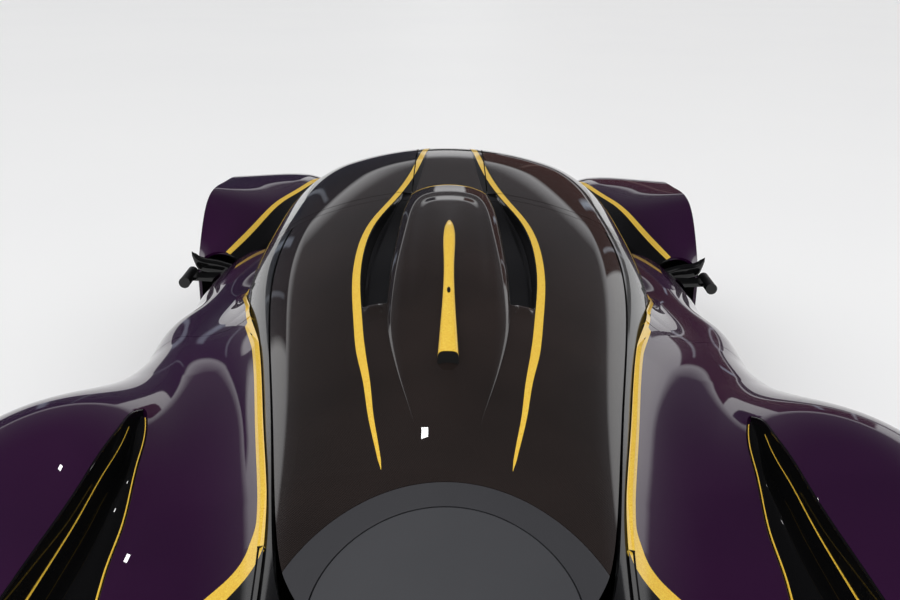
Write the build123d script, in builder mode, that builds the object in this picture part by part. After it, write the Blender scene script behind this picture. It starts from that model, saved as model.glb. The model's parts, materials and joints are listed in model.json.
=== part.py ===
from build123d import *
from math import atan2, cos, hypot, radians, sin, sqrt
import os

# Mid-engined two-seat hypercar with a teardrop centre body between separate fenders.
# Millimetres. +Y is forwards, +X is the car's right side, +Z is up.
# The origin is on the ground, at the middle of the car's box.

os.makedirs("parts", exist_ok=True)

# Overall places
front_end_y = 2280.0
rear_end_y = -2280.0
front_axle_y = 1350.0
wheelbase = 2770.0
rear_axle_y = front_axle_y - wheelbase

# Wheels: tyre radius, tyre width, rim radius, half track
front_tyre_radius = 345.0
front_tyre_width = 265.0
front_rim_radius = 254.0
front_half_track = 832.0
rear_tyre_radius = 360.0
rear_tyre_width = 325.0
rear_rim_radius = 267.0
rear_half_track = 830.0
arch_clearance = 42.0

# Underbody
ride_height = 85.0
floor_thickness = 20.0
floor_top = ride_height + floor_thickness
floor_half_width = 930.0
floor_waist_front = 540.0
floor_waist_rear = 590.0

# Fits
seat_gap = 0.5
panel_gap = 3.0
door_gap = 6.0

# Shell thicknesses
glass_thickness = 6.0
cover_thickness = 12.0
cabin_thickness = 38.0
tub_wall = 60.0

# Centre body sections. Columns: y, half width at the belt, belt height, top height, side radius.
CANOPY = [
    (1300.0, 400.0, 640.0, 705.0, 45.0),
    (900.0, 562.0, 680.0, 925.0, 235.0),
    (450.0, 668.0, 715.0, 1116.0, 420.0),
    (0.0, 677.0, 742.0, 1142.0, 412.0),
    (-450.0, 652.0, 760.0, 1119.0, 345.0),
    (-900.0, 566.0, 765.0, 1078.0, 297.0),
    (-1350.0, 465.0, 765.0, 1007.0, 222.0),
    (-1800.0, 385.0, 765.0, 925.0, 140.0),
    (-2180.0, 337.0, 760.0, 858.0, 86.0),
]
# Nose sections, with the same columns. The first one is the canopy's first.
NOSE = [
    CANOPY[0],
    (1600.0, 372.0, 545.0, 612.0, 46.0),
    (1900.0, 335.0, 432.0, 500.0, 46.0),
    (2200.0, 285.0, 300.0, 365.0, 44.0),
]
belt_tilt = 8.0
least_radius = 8.0

# Rear quarter sections of the right side. Columns: y, inner edge x and z, valley x and z,
# foot of the crown x and z, outer side x and z.
QUARTER = [
    (-700.0, 575.0, 860.0, 690.0, 775.0, 775.0, 755.0, 965.0, 575.0),
    (-1000.0, 485.0, 878.0, 610.0, 775.0, 742.0, 785.0, 1000.0, 645.0),
    (-1400.0, 392.0, 862.0, 530.0, 775.0, 695.0, 842.0, 1042.0, 840.0),
    (-1800.0, 310.0, 850.0, 480.0, 762.0, 685.0, 828.0, 1042.0, 845.0),
    (-2180.0, 270.0, 828.0, 470.0, 735.0, 665.0, 770.0, 985.0, 710.0),
]
# Side pod sections ahead of the quarter, with the same columns. Beside the doors the inner edge
# stays at the belt, and behind them it rises along the canopy.
SIDE_POD = [
    QUARTER[0],
    (-450.0, 605.0, 812.0, 705.0, 766.0, 788.0, 745.0, 955.0, 560.0),
    (-240.0, 640.0, 752.0, 722.0, 755.0, 795.0, 735.0, 952.0, 545.0),
    (0.0, 645.0, 740.0, 730.0, 741.0, 800.0, 722.0, 958.0, 520.0),
    (380.0, 640.0, 716.0, 725.0, 715.0, 800.0, 694.0, 968.0, 480.0),
]
# Front fender sections, with the same columns.
FENDER = [
    (2190.0, 470.0, 300.0, 540.0, 352.0, 640.0, 385.0, 868.0, 280.0),
    (1850.0, 520.0, 470.0, 575.0, 575.0, 680.0, 630.0, 990.0, 500.0),
    (1450.0, 575.0, 640.0, 625.0, 730.0, 720.0, 785.0, 1030.0, 735.0),
    (1050.0, 620.0, 660.0, 670.0, 740.0, 760.0, 800.0, 1035.0, 785.0),
    (700.0, 700.0, 640.0, 745.0, 708.0, 815.0, 775.0, 1035.0, 785.0),
    (400.0, 780.0, 590.0, 820.0, 632.0, 865.0, 672.0, 1015.0, 620.0),
]

# Cabin openings, seen from above
screen_header_y = 395.0
screen_corner_x = 560.0
screen_corner_y = 1000.0
screen_bulge_x = 430.0
screen_bulge_y = 600.0
pillar_width = 46.0
roof_spine_half = 120.0
hoop_front_y = -290.0
hoop_rear_y = -338.0
door_thickness = cabin_thickness
window_bottom = 822.0
window_top = 1022.0
window_frame = 62.0

# Engine cover
cover_front_y = hoop_rear_y - panel_gap
cover_rear_y = CANOPY[-1][0]
seam_front_z = 1008.0
seam_middle_y = -1150.0
seam_middle_z = 903.0
seam_rear_z = 850.0
# Hump along the top. Columns: y, half width, height over the roof
HUMP = [
    (-341.0, 112.0, 18.0),
    (-650.0, 137.0, 40.0),
    (-930.0, 146.0, 42.0),
    (-1220.0, 138.0, 32.0),
    (-1480.0, 92.0, 14.0),
    (-1610.0, 40.0, 3.0),
]
# Channels beside the hump. Columns: y, inner x, outer x, depth
CHANNEL = [
    (-341.0, 118.0, 165.0, 3.0),
    (-520.0, 133.0, 210.0, 34.0),
    (-760.0, 143.0, 236.0, 42.0),
    (-960.0, 146.0, 232.0, 42.0),
    (-1090.0, 144.0, 220.0, 38.0),
]
# Pod along the spine of the hump. Columns: y, half width, height over the hump
SPINE_POD = [
    (-730.0, 6.0, 3.0),
    (-1000.0, 15.0, 13.0),
    (-1250.0, 19.0, 19.0),
    (-1430.0, 23.0, 26.0),
]
spine_pod_wall = 3.0
spine_mouth_depth = 60.0
shield_centre_y = -2032.0
shield_radius = 262.0
shield_panel_radius = 226.0
shield_panel_centre_y = -2078.0

# Exhausts through the tail panel
exhaust_radius = 46.0
exhaust_wall = 4.0
exhaust_half_spacing = 100.0
exhaust_z = 680.0
exhaust_end_y = -2262.0
silencer_front_y = -1780.0
silencer_rear_y = -2080.0
silencer_half_width = 170.0
silencer_top = 760.0

# Rear fender duct, seen from above and from the side
duct_tip_x = 722.0
duct_tip_y = -1310.0
duct_middle_y = -1600.0
duct_middle_inner_x = 653.0
duct_middle_outer_x = 752.0
duct_inner_x = 590.0
duct_outer_x = 790.0
duct_tip_z = 900.0
duct_middle_floor_z = 745.0
duct_floor_z = 655.0

# Underbody and tail
lamp_depth = 14.0
diffuser_front_y = -1830.0
diffuser_rear_z = 400.0
diffuser_half_width = 560.0
diffuser_thickness = 12.0
fin_height = 150.0
fin_thickness = 8.0
tail_bottom_z = 470.0
tail_thickness = 18.0
lamp_height = 14.0
lamp_length = 430.0
lamp_centre_x = 620.0
lamp_z = 620.0
splitter_rear_y = 1780.0
front_wing_y = 1990.0
front_wing_chord = 260.0
front_wing_z = 225.0
front_wing_thickness = 20.0

# Running gear
king_pin_inset = 50.0
king_pin_radius = 11.0
steer_angle = 22.0
arch_steer_extra = 10.0
stub_radius = 28.0
stub_clearance = 0.4
hub_radius = 62.0
rim_wall = 9.0
spoke_count = 10
disc_thickness = 28.0
caliper_radius = 228.0
caliper_height = 100.0
caliper_clearance = 7.0
shaft_radius = 16.0
front_disc_radius = 205.0
rear_disc_radius = 195.0
wishbone_radius = 13.0
wishbone_spread = 170.0
suspension_bay = 240.0
suspension_bay_top = 600.0
door_open_angle = 75.0
hinge_z = 1142.0
hinge_gap = 0.3
hinge_leaf_depth = 12.0
hinge_leaf_thickness = 24.0
hinge_leaf_width = 40.0
hinge_leaf_length = 60.0
hinge_leaf_rear_y = -130.0
hinge_leaf_front_y = 210.0

# Cabin and drivetrain
tub_floor_top = 165.0
front_bulkhead_y = 980.0
rear_bulkhead_y = hoop_rear_y
seat_offset = 265.0
seat_half_width = 215.0
seat_back_y = rear_bulkhead_y + tub_wall + seat_gap
steering_wheel_y = 400.0
steering_wheel_z = 640.0
engine_front_y = -520.0
engine_rear_y = -1080.0
engine_half_width = 270.0
engine_top = 690.0
gearbox_rear_y = -1900.0
gearbox_half_width = 120.0
gearbox_top = 520.0

# Camera arms
camera_y = 310.0
camera_z = 615.0
camera_tip_x = 1052.0
camera_radius = 22.0
camera_length = 140.0
arm_thickness = 14.0


def section_plane(y):
    """Plane across the car at one station, with the car's X and Z as its axes."""
    return Plane.XZ.offset(-y)


def side_plane(x):
    """Plane along the car at one X, with the car's Y and Z as its axes."""
    return Plane.YZ.offset(x)


def crown_points(half, belt, top, radius, inset):
    """Belt end, middle of the side arc, joint with the top arc, and top of one section."""
    tilt = radians(belt_tilt)
    side_x = half - radius * cos(tilt)
    side_z = belt - radius * sin(tilt)
    drop = side_z - top
    roof_radius = (radius**2 - side_x**2 - drop**2) / (2 * (drop + radius))
    roof_z = top - roof_radius
    joint = atan2(side_z - roof_z, side_x)
    small = max(radius - inset, least_radius)
    belt_end = (side_x + small * cos(tilt), side_z + small * sin(tilt))
    middle = (side_x + small * cos((tilt + joint) / 2), side_z + small * sin((tilt + joint) / 2))
    meeting = (side_x + small * cos(joint), side_z + small * sin(joint))
    return belt_end, middle, meeting, (0.0, top - inset)


def centre_body(rows, inset, foot_z):
    """Centre body through the rows, drawn in by inset, its walls straight down to foot_z."""
    with BuildPart() as body:
        for y, half, belt, top, radius in rows:
            end, middle, meeting, crown = crown_points(half, belt, top, radius, inset)
            foot = (end[0], foot_z)
            with BuildSketch(section_plane(y)):
                with BuildLine():
                    Line(foot, end)
                    ThreePointArc(end, middle, meeting)
                    ThreePointArc(meeting, crown, (-meeting[0], meeting[1]))
                    ThreePointArc((-meeting[0], meeting[1]), (-middle[0], middle[1]), (-end[0], end[1]))
                    Line((-end[0], end[1]), (-foot[0], foot[1]))
                    Line((-foot[0], foot[1]), foot)
                make_face()
        loft()
    return body.part


def side_body(rows, inset, bottom):
    """Right-hand side body through the rows, drawn in by inset."""
    with BuildPart() as body:
        for y, in_x, in_z, valley_x, valley_z, top_x, top_z, out_x, out_z in rows:
            with BuildSketch(section_plane(y)):
                with BuildLine():
                    Line((in_x + inset, bottom), (in_x + inset, in_z - inset))
                    valley = ThreePointArc(
                        (in_x + inset, in_z - inset),
                        (valley_x + inset / 2, valley_z - inset),
                        (top_x, top_z - inset),
                    )
                    TangentArc((top_x, top_z - inset), (out_x - inset, out_z), tangent=valley % 1)
                    Line((out_x - inset, out_z), (out_x - inset, bottom))
                    Line((out_x - inset, bottom), (in_x + inset, bottom))
                make_face()
        loft()
    return body.part


def side_view_prism(points, half_width=1200.0, centre=0.0):
    """Prism across the car from an outline of (y, z) points."""
    with BuildPart() as prism:
        with BuildSketch(side_plane(centre)):
            with BuildLine():
                Polyline(*points, close=True)
            make_face()
        extrude(amount=half_width, both=True)
    return prism.part


def plan_prism(points, low, high):
    """Upright prism from a plan outline of (x, y) points."""
    with BuildPart() as prism:
        with BuildSketch(Plane.XY.offset(low)):
            with BuildLine():
                Polyline(*points, close=True)
            make_face()
        extrude(amount=high - low)
    return prism.part


def axle_cylinder(radius, x_from, x_to, y, z):
    """Cylinder across the car."""
    with BuildPart() as cylinder:
        with BuildSketch(side_plane(x_from)):
            with Locations((y, z)):
                Circle(radius)
        extrude(amount=x_to - x_from)
    return cylinder.part


def save(shape, name):
    """Label one piece and write it."""
    piece = Part(children=[]) if shape is None else shape
    piece.label = name
    export_step(piece, f"parts/{name}.step")


def mirrored(shape):
    """The same piece on the other side of the car."""
    return mirror(shape, about=Plane.YZ)


def save_pair(shape, name):
    """Write a right-hand piece and its left-hand twin as two nodes."""
    save(shape, f"{name}_right")
    save(mirrored(shape), f"{name}_left")


def save_both(shape, name):
    """Write a right-hand piece and its left-hand twin as one node."""
    save(Compound(children=[shape, mirrored(shape)]), name)


def between(table, y, column):
    """Value of one column of a table at a station, straight between its rows."""
    rows = sorted(table)
    for low, high in zip(rows, rows[1:]):
        if y <= high[0]:
            break
    share = (y - low[0]) / (high[0] - low[0])
    return low[column] + share * (high[column] - low[column])


def roof_height(x, y):
    """Height of the roof's top arc at a place seen from above."""
    half, belt, top, radius = (between(CANOPY, y, column) for column in range(1, 5))
    tilt = radians(belt_tilt)
    side_x = half - radius * cos(tilt)
    side_z = belt - radius * sin(tilt)
    drop = side_z - top
    roof_radius = (radius**2 - side_x**2 - drop**2) / (2 * (drop + radius))
    return top - roof_radius + sqrt(roof_radius**2 - x**2)


def canopy_skin(outer, inner):
    """Skin of the canopy between two insets, its walls running down to the floor."""
    with BuildPart() as skin:
        add(centre_body(CANOPY, outer, floor_top + seat_gap))
        add(centre_body(CANOPY, inner, floor_top - 60.0), mode=Mode.SUBTRACT)
    return skin.part


def screen_circle():
    """Centre and radius of the arc between windscreen frame and door, from above."""
    (ax, ay), (bx, by), (cx, cy) = (
        (roof_spine_half, screen_header_y), (screen_bulge_x, screen_bulge_y), (screen_corner_x, screen_corner_y)
    )
    twice = 2 * (ax * (by - cy) + bx * (cy - ay) + cx * (ay - by))
    aa, bb, cc = ax**2 + ay**2, bx**2 + by**2, cx**2 + cy**2
    x = (aa * (by - cy) + bb * (cy - ay) + cc * (ay - by)) / twice
    y = (aa * (cx - bx) + bb * (ax - cx) + cc * (bx - ax)) / twice
    return x, y, hypot(ax - x, ay - y)


def screen_outline(shift, head_x):
    """Right half of the windscreen's outline moved in by shift, from head_x to the corner."""
    x, y, radius = screen_circle()
    radius -= shift
    head = (head_x, y - sqrt(radius**2 - (head_x - x) ** 2))
    corner = (x + sqrt(radius**2 - (screen_corner_y - y) ** 2), screen_corner_y)
    low = atan2(head[1] - y, head[0] - x)
    high = atan2(corner[1] - y, corner[0] - x)
    middle = (x + radius * cos((low + high) / 2), y + radius * sin((low + high) / 2))
    return head, middle, corner


def plan_region(edge, closing, low, high):
    """Upright prism whose plan is an arc through edge, closed by straight lines."""
    with BuildPart() as prism:
        with BuildSketch(Plane.XY.offset(low)):
            with BuildLine():
                ThreePointArc(*edge)
                Polyline(edge[2], *closing, edge[0])
            make_face()
        extrude(amount=high - low)
    return prism.part


def screen_pane(shift):
    """Upright prism over the windscreen, its edge moved in from the doors by shift."""
    head, middle, corner = screen_outline(shift, 0.0)
    closing = [(corner[0], 1500.0), (0.0, 1500.0)]
    half = plan_region((head, middle, corner), closing, 0.0, 1500.0)
    with BuildPart() as pane:
        add(half)
        add(mirrored(half))
    return pane.part


def round_prism(radius, x, y, low, high):
    """Upright round prism."""
    with BuildPart() as prism:
        with BuildSketch(Plane.XY.offset(low)):
            with Locations((x, y)):
                Circle(radius)
        extrude(amount=high - low)
    return prism.part


def door_region(gap):
    """Upright prism that holds the right door, smaller than its opening by gap."""
    head, middle, corner = screen_outline(-gap, roof_spine_half + gap)
    closing = [(1200.0, corner[1]), (1200.0, hoop_front_y + gap), (head[0], hoop_front_y + gap)]
    return plan_region((head, middle, corner), closing, 0.0, 1500.0)


def belt_band(gap, low, high):
    """Block above the belt of the centre body, its underside at the belt plus gap."""
    with BuildPart() as band:
        for y, half, belt, top, radius in CANOPY:
            with BuildSketch(section_plane(y)):
                with BuildLine():
                    Polyline(
                        (-1200.0, belt + gap), (1200.0, belt + gap),
                        (1200.0, high), (-1200.0, high), close=True,
                    )
                make_face()
        loft(ruled=True)
    return band.part


def body_block(low_y, high_y, low_z, high_z):
    """Block across the whole car between two stations and two heights."""
    return side_view_prism(
        [(low_y, low_z), (high_y, low_z), (high_y, high_z), (low_y, high_z)]
    )


# Floor, with the wheels' bays cut out
front_bay_half_length = front_tyre_radius + arch_clearance + arch_steer_extra
rear_bay_half_length = rear_tyre_radius + arch_clearance
with BuildPart() as floor:
    with BuildSketch(Plane.XY.offset(ride_height)):
        with BuildLine():
            Polyline(
                (-floor_half_width, splitter_rear_y), (floor_half_width, splitter_rear_y),
                (floor_half_width, diffuser_front_y), (-floor_half_width, diffuser_front_y),
                close=True,
            )
        make_face()
        for side in (-1, 1):
            with Locations((side * (floor_waist_front + 400.0), front_axle_y)):
                Rectangle(800.0, 2 * front_bay_half_length, mode=Mode.SUBTRACT)
            with Locations((side * (floor_waist_rear + 400.0), rear_axle_y)):
                Rectangle(800.0, 2 * rear_bay_half_length, mode=Mode.SUBTRACT)
    extrude(amount=floor_thickness)
save(floor.part, "floor")

# Splitter blade with a curved leading edge
with BuildPart() as splitter:
    with BuildSketch(Plane.XY.offset(ride_height)):
        with BuildLine():
            Line((-floor_half_width, splitter_rear_y + seat_gap), (floor_half_width, splitter_rear_y + seat_gap))
            Line((floor_half_width, splitter_rear_y + seat_gap), (floor_half_width, front_end_y - 150.0))
            ThreePointArc(
                (floor_half_width, front_end_y - 150.0), (0.0, front_end_y),
                (-floor_half_width, front_end_y - 150.0),
            )
            Line((-floor_half_width, front_end_y - 150.0), (-floor_half_width, splitter_rear_y + seat_gap))
        make_face()
    extrude(amount=floor_thickness)
save(splitter.part, "front_splitter")

# Cabin tub: side walls up to the belt, a floor and two bulkheads
with BuildPart() as cabin:
    add(centre_body(CANOPY, tub_wall, tub_floor_top))
    add(body_block(rear_bulkhead_y + tub_wall, front_bulkhead_y, 0.0, 1500.0), mode=Mode.INTERSECT)
with BuildPart() as tub:
    add(centre_body(CANOPY, 0.0, floor_top + seat_gap))
    add(belt_band(-seat_gap, 0.0, 1600.0), mode=Mode.SUBTRACT)
    add(body_block(rear_bulkhead_y, CANOPY[0][0], 0.0, 1500.0), mode=Mode.INTERSECT)
    add(cabin.part, mode=Mode.SUBTRACT)
save(tub.part, "cabin_tub")

# Windscreen frame, roof spine and rear hoop in one moulding
with BuildPart() as cabin_frame:
    add(canopy_skin(0.0, cabin_thickness))
    add(belt_band(0.0, 0.0, 1600.0), mode=Mode.INTERSECT)
    add(body_block(hoop_rear_y, CANOPY[0][0], 0.0, 1500.0), mode=Mode.INTERSECT)
    opening = door_region(0.0)
    add(opening, mode=Mode.SUBTRACT)
    add(mirrored(opening), mode=Mode.SUBTRACT)
    add(screen_pane(pillar_width), mode=Mode.SUBTRACT)
save(cabin_frame.part, "cabin_frame")

# Windscreen
with BuildPart() as windscreen:
    add(canopy_skin(0.0, glass_thickness))
    add(belt_band(0.0, 0.0, 1600.0), mode=Mode.INTERSECT)
    add(screen_pane(pillar_width + panel_gap), mode=Mode.INTERSECT)
save(windscreen.part, "windscreen")

# Doors: skin with a window, and its glass
with BuildPart() as door:
    add(canopy_skin(0.0, door_thickness))
    add(belt_band(door_gap, 0.0, 1600.0), mode=Mode.INTERSECT)
    add(door_region(door_gap), mode=Mode.INTERSECT)
window_head, window_middle, window_corner = screen_outline(-window_frame, roof_spine_half + window_frame)
with BuildPart() as window_space:
    add(
        plan_region(
            (window_head, window_middle, window_corner),
            [
                (1200.0, window_corner[1]), (1200.0, hoop_front_y + window_frame),
                (window_head[0], hoop_front_y + window_frame),
            ],
            0.0, 1500.0,
        )
    )
    add(body_block(rear_end_y, window_corner[1] - window_frame, window_bottom, window_top), mode=Mode.INTERSECT)
with BuildPart() as hinge_leaves:
    add(canopy_skin(hinge_leaf_depth, hinge_leaf_depth + hinge_leaf_thickness))
    for y in (hinge_leaf_rear_y, hinge_leaf_front_y):
        with BuildSketch(Plane.XY):
            with Locations((roof_spine_half + hinge_gap + hinge_leaf_width / 2, y)):
                Rectangle(hinge_leaf_width, hinge_leaf_length)
    extrude(amount=1500.0, mode=Mode.INTERSECT)
with BuildPart() as door_right:
    add(door.part)
    add(hinge_leaves.part)
    add(window_space.part, mode=Mode.SUBTRACT)
save_pair(door_right.part, "door")
with BuildPart() as door_glass:
    add(canopy_skin(seat_gap, seat_gap + glass_thickness))
    add(window_space.part, mode=Mode.INTERSECT)
save_pair(door_glass.part, "door_glass")

# Engine cover above its side seam, with the scoop's hump, side channels and spine
def above_seam(shift, reach):
    """Everything above the seam, lowered by shift and reaching past its ends."""
    with BuildPart() as above:
        with BuildSketch(side_plane(0.0)):
            with BuildLine():
                front = (cover_front_y + reach, seam_front_z + 0.12 * reach - shift)
                rear = (cover_rear_y - reach, seam_rear_z - 0.02 * reach - shift)
                ThreePointArc(front, (seam_middle_y, seam_middle_z - shift), rear)
                Polyline(rear, (rear[0], 1500.0), (front[0], 1500.0), front)
            make_face()
        extrude(amount=1200.0, both=True)
    return above.part


def hump_body(rows, base):
    """Long rounded body on the roof. Rows: y, half width, height over the roof, base under it."""
    with BuildPart() as body:
        for y, half, height in rows:
            top = roof_height(0.0, y) + height
            foot = roof_height(half, y) - 6.0
            with BuildSketch(section_plane(y)):
                with BuildLine():
                    Polyline((half, foot), (half, foot - base), (-half, foot - base), (-half, foot))
                    ThreePointArc((-half, foot), (0.0, top), (half, foot))
                make_face()
        loft()
    return body.part


def channel_tool(grow):
    """Space of the right-hand channel, grown sideways, down and to the rear."""
    with BuildPart() as tool:
        for y, inner, outer, depth in CHANNEL:
            low = roof_height((inner + outer) / 2, y) - depth - grow
            station = y - grow if y == CHANNEL[-1][0] else y
            with BuildSketch(section_plane(station)):
                with BuildLine():
                    Polyline(
                        (inner - grow, low), (outer + grow, low), (outer + grow, 1300.0),
                        (inner - grow, 1300.0), close=True,
                    )
                make_face()
        loft(ruled=True)
    return tool.part


seam_prism = above_seam(0.0, 0.0)
hump_solid = hump_body(HUMP, 6.0)
with BuildPart() as channel_liner:
    add(channel_tool(cover_thickness))
    add(centre_body(CANOPY, 0.0, 0.0), mode=Mode.INTERSECT)
with BuildPart() as engine_cover:
    add(canopy_skin(0.0, cover_thickness))
    add(seam_prism, mode=Mode.INTERSECT)
    add(hump_solid)
    add(channel_liner.part)
    add(mirrored(channel_liner.part))
    add(body_block(cover_rear_y, cover_front_y, 0.0, 1500.0), mode=Mode.INTERSECT)
    add(channel_tool(0.0), mode=Mode.SUBTRACT)
    add(mirrored(channel_tool(0.0)), mode=Mode.SUBTRACT)
    add(round_prism(shield_radius + panel_gap, 0.0, shield_centre_y, 600.0, 1200.0), mode=Mode.SUBTRACT)
save(engine_cover.part, "engine_cover")

# Pod on the spine of the hump, open at its rear end
with BuildPart() as spine_pod:
    for y, half, height in SPINE_POD:
        top = roof_height(0.0, y) + between(HUMP, y, 2) + height
        with BuildSketch(section_plane(y)):
            with BuildLine():
                Polyline((half * 0.8, top - height * 0.25), (half, top - height - 12.0), (-half, top - height - 12.0), (-half * 0.8, top - height * 0.25))
                ThreePointArc((-half * 0.8, top - height * 0.25), (0.0, top), (half * 0.8, top - height * 0.25))
            make_face()
    loft()
    y, half, height = SPINE_POD[-1]
    top = roof_height(0.0, y) + between(HUMP, y, 2) + height
    with BuildSketch(section_plane(y)):
        with Locations((0.0, top - height / 2 - 1.0)):
            Rectangle(2 * half - 4 * spine_pod_wall, height - 2 * spine_pod_wall)
    extrude(amount=spine_mouth_depth, both=True, mode=Mode.SUBTRACT)
    add(engine_cover.part.moved(Location((0.0, 0.0, 0.2))), mode=Mode.SUBTRACT)
save(spine_pod.part, "spine_pod")

# Heat shield: a ring round a lower panel, both curved as the tail is
with BuildPart() as shield_ring:
    add(canopy_skin(0.0, cover_thickness))
    add(round_prism(shield_radius, 0.0, shield_centre_y, 600.0, 1200.0), mode=Mode.INTERSECT)
    add(
        round_prism(shield_panel_radius + panel_gap, 0.0, shield_panel_centre_y, 600.0, 1200.0),
        mode=Mode.SUBTRACT,
    )
    add(seam_prism, mode=Mode.INTERSECT)
save(shield_ring.part, "heat_shield_ring")
with BuildPart() as shield_panel:
    add(canopy_skin(0.0, cover_thickness))
    add(
        round_prism(shield_panel_radius, 0.0, shield_panel_centre_y, 600.0, 1200.0),
        mode=Mode.INTERSECT,
    )
    add(seam_prism, mode=Mode.INTERSECT)
save(shield_panel.part, "heat_shield_panel")

# Space that the diffuser takes under the tail
diffuser_slope = (diffuser_rear_z - ride_height) / (diffuser_front_y - rear_end_y)
under_diffuser = side_view_prism([
    (diffuser_front_y, 0.0),
    (diffuser_front_y, ride_height + diffuser_thickness + seat_gap),
    (rear_end_y - 100.0, diffuser_rear_z + diffuser_thickness + seat_gap + 100.0 * diffuser_slope),
    (rear_end_y - 100.0, 0.0),
])

# Flanks of the engine bay below the seam
with BuildPart() as flank:
    add(canopy_skin(0.0, cover_thickness))
    add(body_block(cover_rear_y, cover_front_y, 0.0, 1500.0), mode=Mode.INTERSECT)
    add(above_seam(seat_gap, 50.0), mode=Mode.SUBTRACT)
    add(under_diffuser, mode=Mode.SUBTRACT)
    add(axle_cylinder(shaft_radius + 24.0, 300.0, 700.0, rear_axle_y, rear_tyre_radius), mode=Mode.SUBTRACT)
    add(plan_prism([(100.0, -3000.0), (1200.0, -3000.0), (1200.0, 3000.0), (100.0, 3000.0)], 0.0, 1500.0), mode=Mode.INTERSECT)
save_pair(flank.part, "engine_bay_flank")

# Nose
with BuildPart() as nose:
    add(centre_body(NOSE, 0.0, floor_top + seat_gap))
    add(body_block(CANOPY[0][0] + seat_gap, front_end_y, 0.0, 1500.0), mode=Mode.INTERSECT)
save(nose.part, "nose")

# Sheet that the side bodies keep clear of
clear_body = centre_body(CANOPY, -panel_gap, 0.0)
clear_nose = centre_body(NOSE, -panel_gap, 0.0)

# Rear quarters, with wheel arch, tail rise and duct
rear_arch_radius = rear_tyre_radius + arch_clearance
rear_arch_inner_x = rear_half_track - rear_tyre_width / 2 - arch_clearance
with BuildPart() as duct:
    for y, inner, outer, floor_z in (
        (duct_tip_y, duct_tip_x - 6.0, duct_tip_x + 6.0, duct_tip_z - 80.0),
        (duct_middle_y, duct_middle_inner_x, duct_middle_outer_x, duct_middle_floor_z),
        (QUARTER[-1][0] - 40.0, duct_inner_x, duct_outer_x, duct_floor_z),
    ):
        with BuildSketch(section_plane(y)):
            with BuildLine():
                Polyline(
                    (inner, floor_z), (outer, floor_z), (outer + 30.0, 1200.0), (inner - 30.0, 1200.0),
                    close=True,
                )
            make_face()
    loft()
with BuildPart() as rear_quarter:
    add(side_body(QUARTER, 0.0, floor_top + seat_gap))
    add(clear_body, mode=Mode.SUBTRACT)
    add(axle_cylinder(rear_arch_radius, rear_arch_inner_x, 1200.0, rear_axle_y, rear_tyre_radius), mode=Mode.SUBTRACT)
    add(duct.part, mode=Mode.SUBTRACT)
    add(under_diffuser, mode=Mode.SUBTRACT)
    add(
        plan_prism(
            [
                (0.0, rear_axle_y - suspension_bay), (rear_arch_inner_x + 1.0, rear_axle_y - suspension_bay),
                (rear_arch_inner_x + 1.0, rear_axle_y + suspension_bay), (0.0, rear_axle_y + suspension_bay),
            ],
            0.0, suspension_bay_top,
        ),
        mode=Mode.SUBTRACT,
    )
save_pair(rear_quarter.part, "rear_quarter")

# Side pods with their inlet
with BuildPart() as inlet:
    with BuildSketch(section_plane(SIDE_POD[-1][0])):
        with Locations((810.0, 400.0)):
            RectangleRounded(210.0, 380.0, 40.0)
    extrude(amount=160.0)
with BuildPart() as side_pod:
    add(side_body(SIDE_POD, 0.0, floor_top + seat_gap))
    add(clear_body, mode=Mode.SUBTRACT)
    add(body_block(QUARTER[0][0] + seat_gap, front_end_y, 0.0, 1500.0), mode=Mode.INTERSECT)
    add(inlet.part, mode=Mode.SUBTRACT)
save_pair(side_pod.part, "side_pod")

# Headlamp shape: a slice of the front fender's skin
lamp_outline = [(660.0, 2130.0), (830.0, 2105.0), (850.0, 2025.0), (690.0, 2075.0)]
with BuildPart() as lamp_lens:
    add(side_body(FENDER, 0.0, floor_top))
    add(side_body(FENDER, lamp_depth, 0.0), mode=Mode.SUBTRACT)
    add(plan_prism(lamp_outline, 200.0, 900.0), mode=Mode.INTERSECT)
with BuildPart() as lamp_pocket:
    add(side_body(FENDER, -5.0, floor_top))
    add(side_body(FENDER, lamp_depth + seat_gap, 0.0), mode=Mode.SUBTRACT)
    with BuildSketch(Plane.XY):
        with BuildLine():
            Polyline(*lamp_outline, close=True)
        make_face()
        offset(amount=seat_gap)
    extrude(amount=900.0, mode=Mode.INTERSECT)

# Front fenders
front_arch_radius = front_tyre_radius + arch_clearance + arch_steer_extra
with BuildPart() as front_fender:
    add(side_body(FENDER, 0.0, floor_top + seat_gap))
    add(clear_body, mode=Mode.SUBTRACT)
    add(clear_nose, mode=Mode.SUBTRACT)
    add(axle_cylinder(front_arch_radius, 400.0, 1200.0, front_axle_y, front_tyre_radius), mode=Mode.SUBTRACT)
    add(lamp_pocket.part, mode=Mode.SUBTRACT)
save_pair(front_fender.part, "front_fender")

# Front wing blades between the nose and the fenders
with BuildPart() as front_wing:
    with BuildSketch(side_plane(0.0)):
        with Locations((front_wing_y, front_wing_z)):
            RectangleRounded(front_wing_chord, front_wing_thickness, 9.0)
    extrude(amount=floor_half_width - 300.0, both=True)
    add(centre_body(NOSE, -seat_gap, 0.0), mode=Mode.SUBTRACT)
    add(side_body(FENDER, -seat_gap, 0.0), mode=Mode.SUBTRACT)
    add(mirrored(side_body(FENDER, -seat_gap, 0.0)), mode=Mode.SUBTRACT)
save(front_wing.part, "front_wing")

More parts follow.
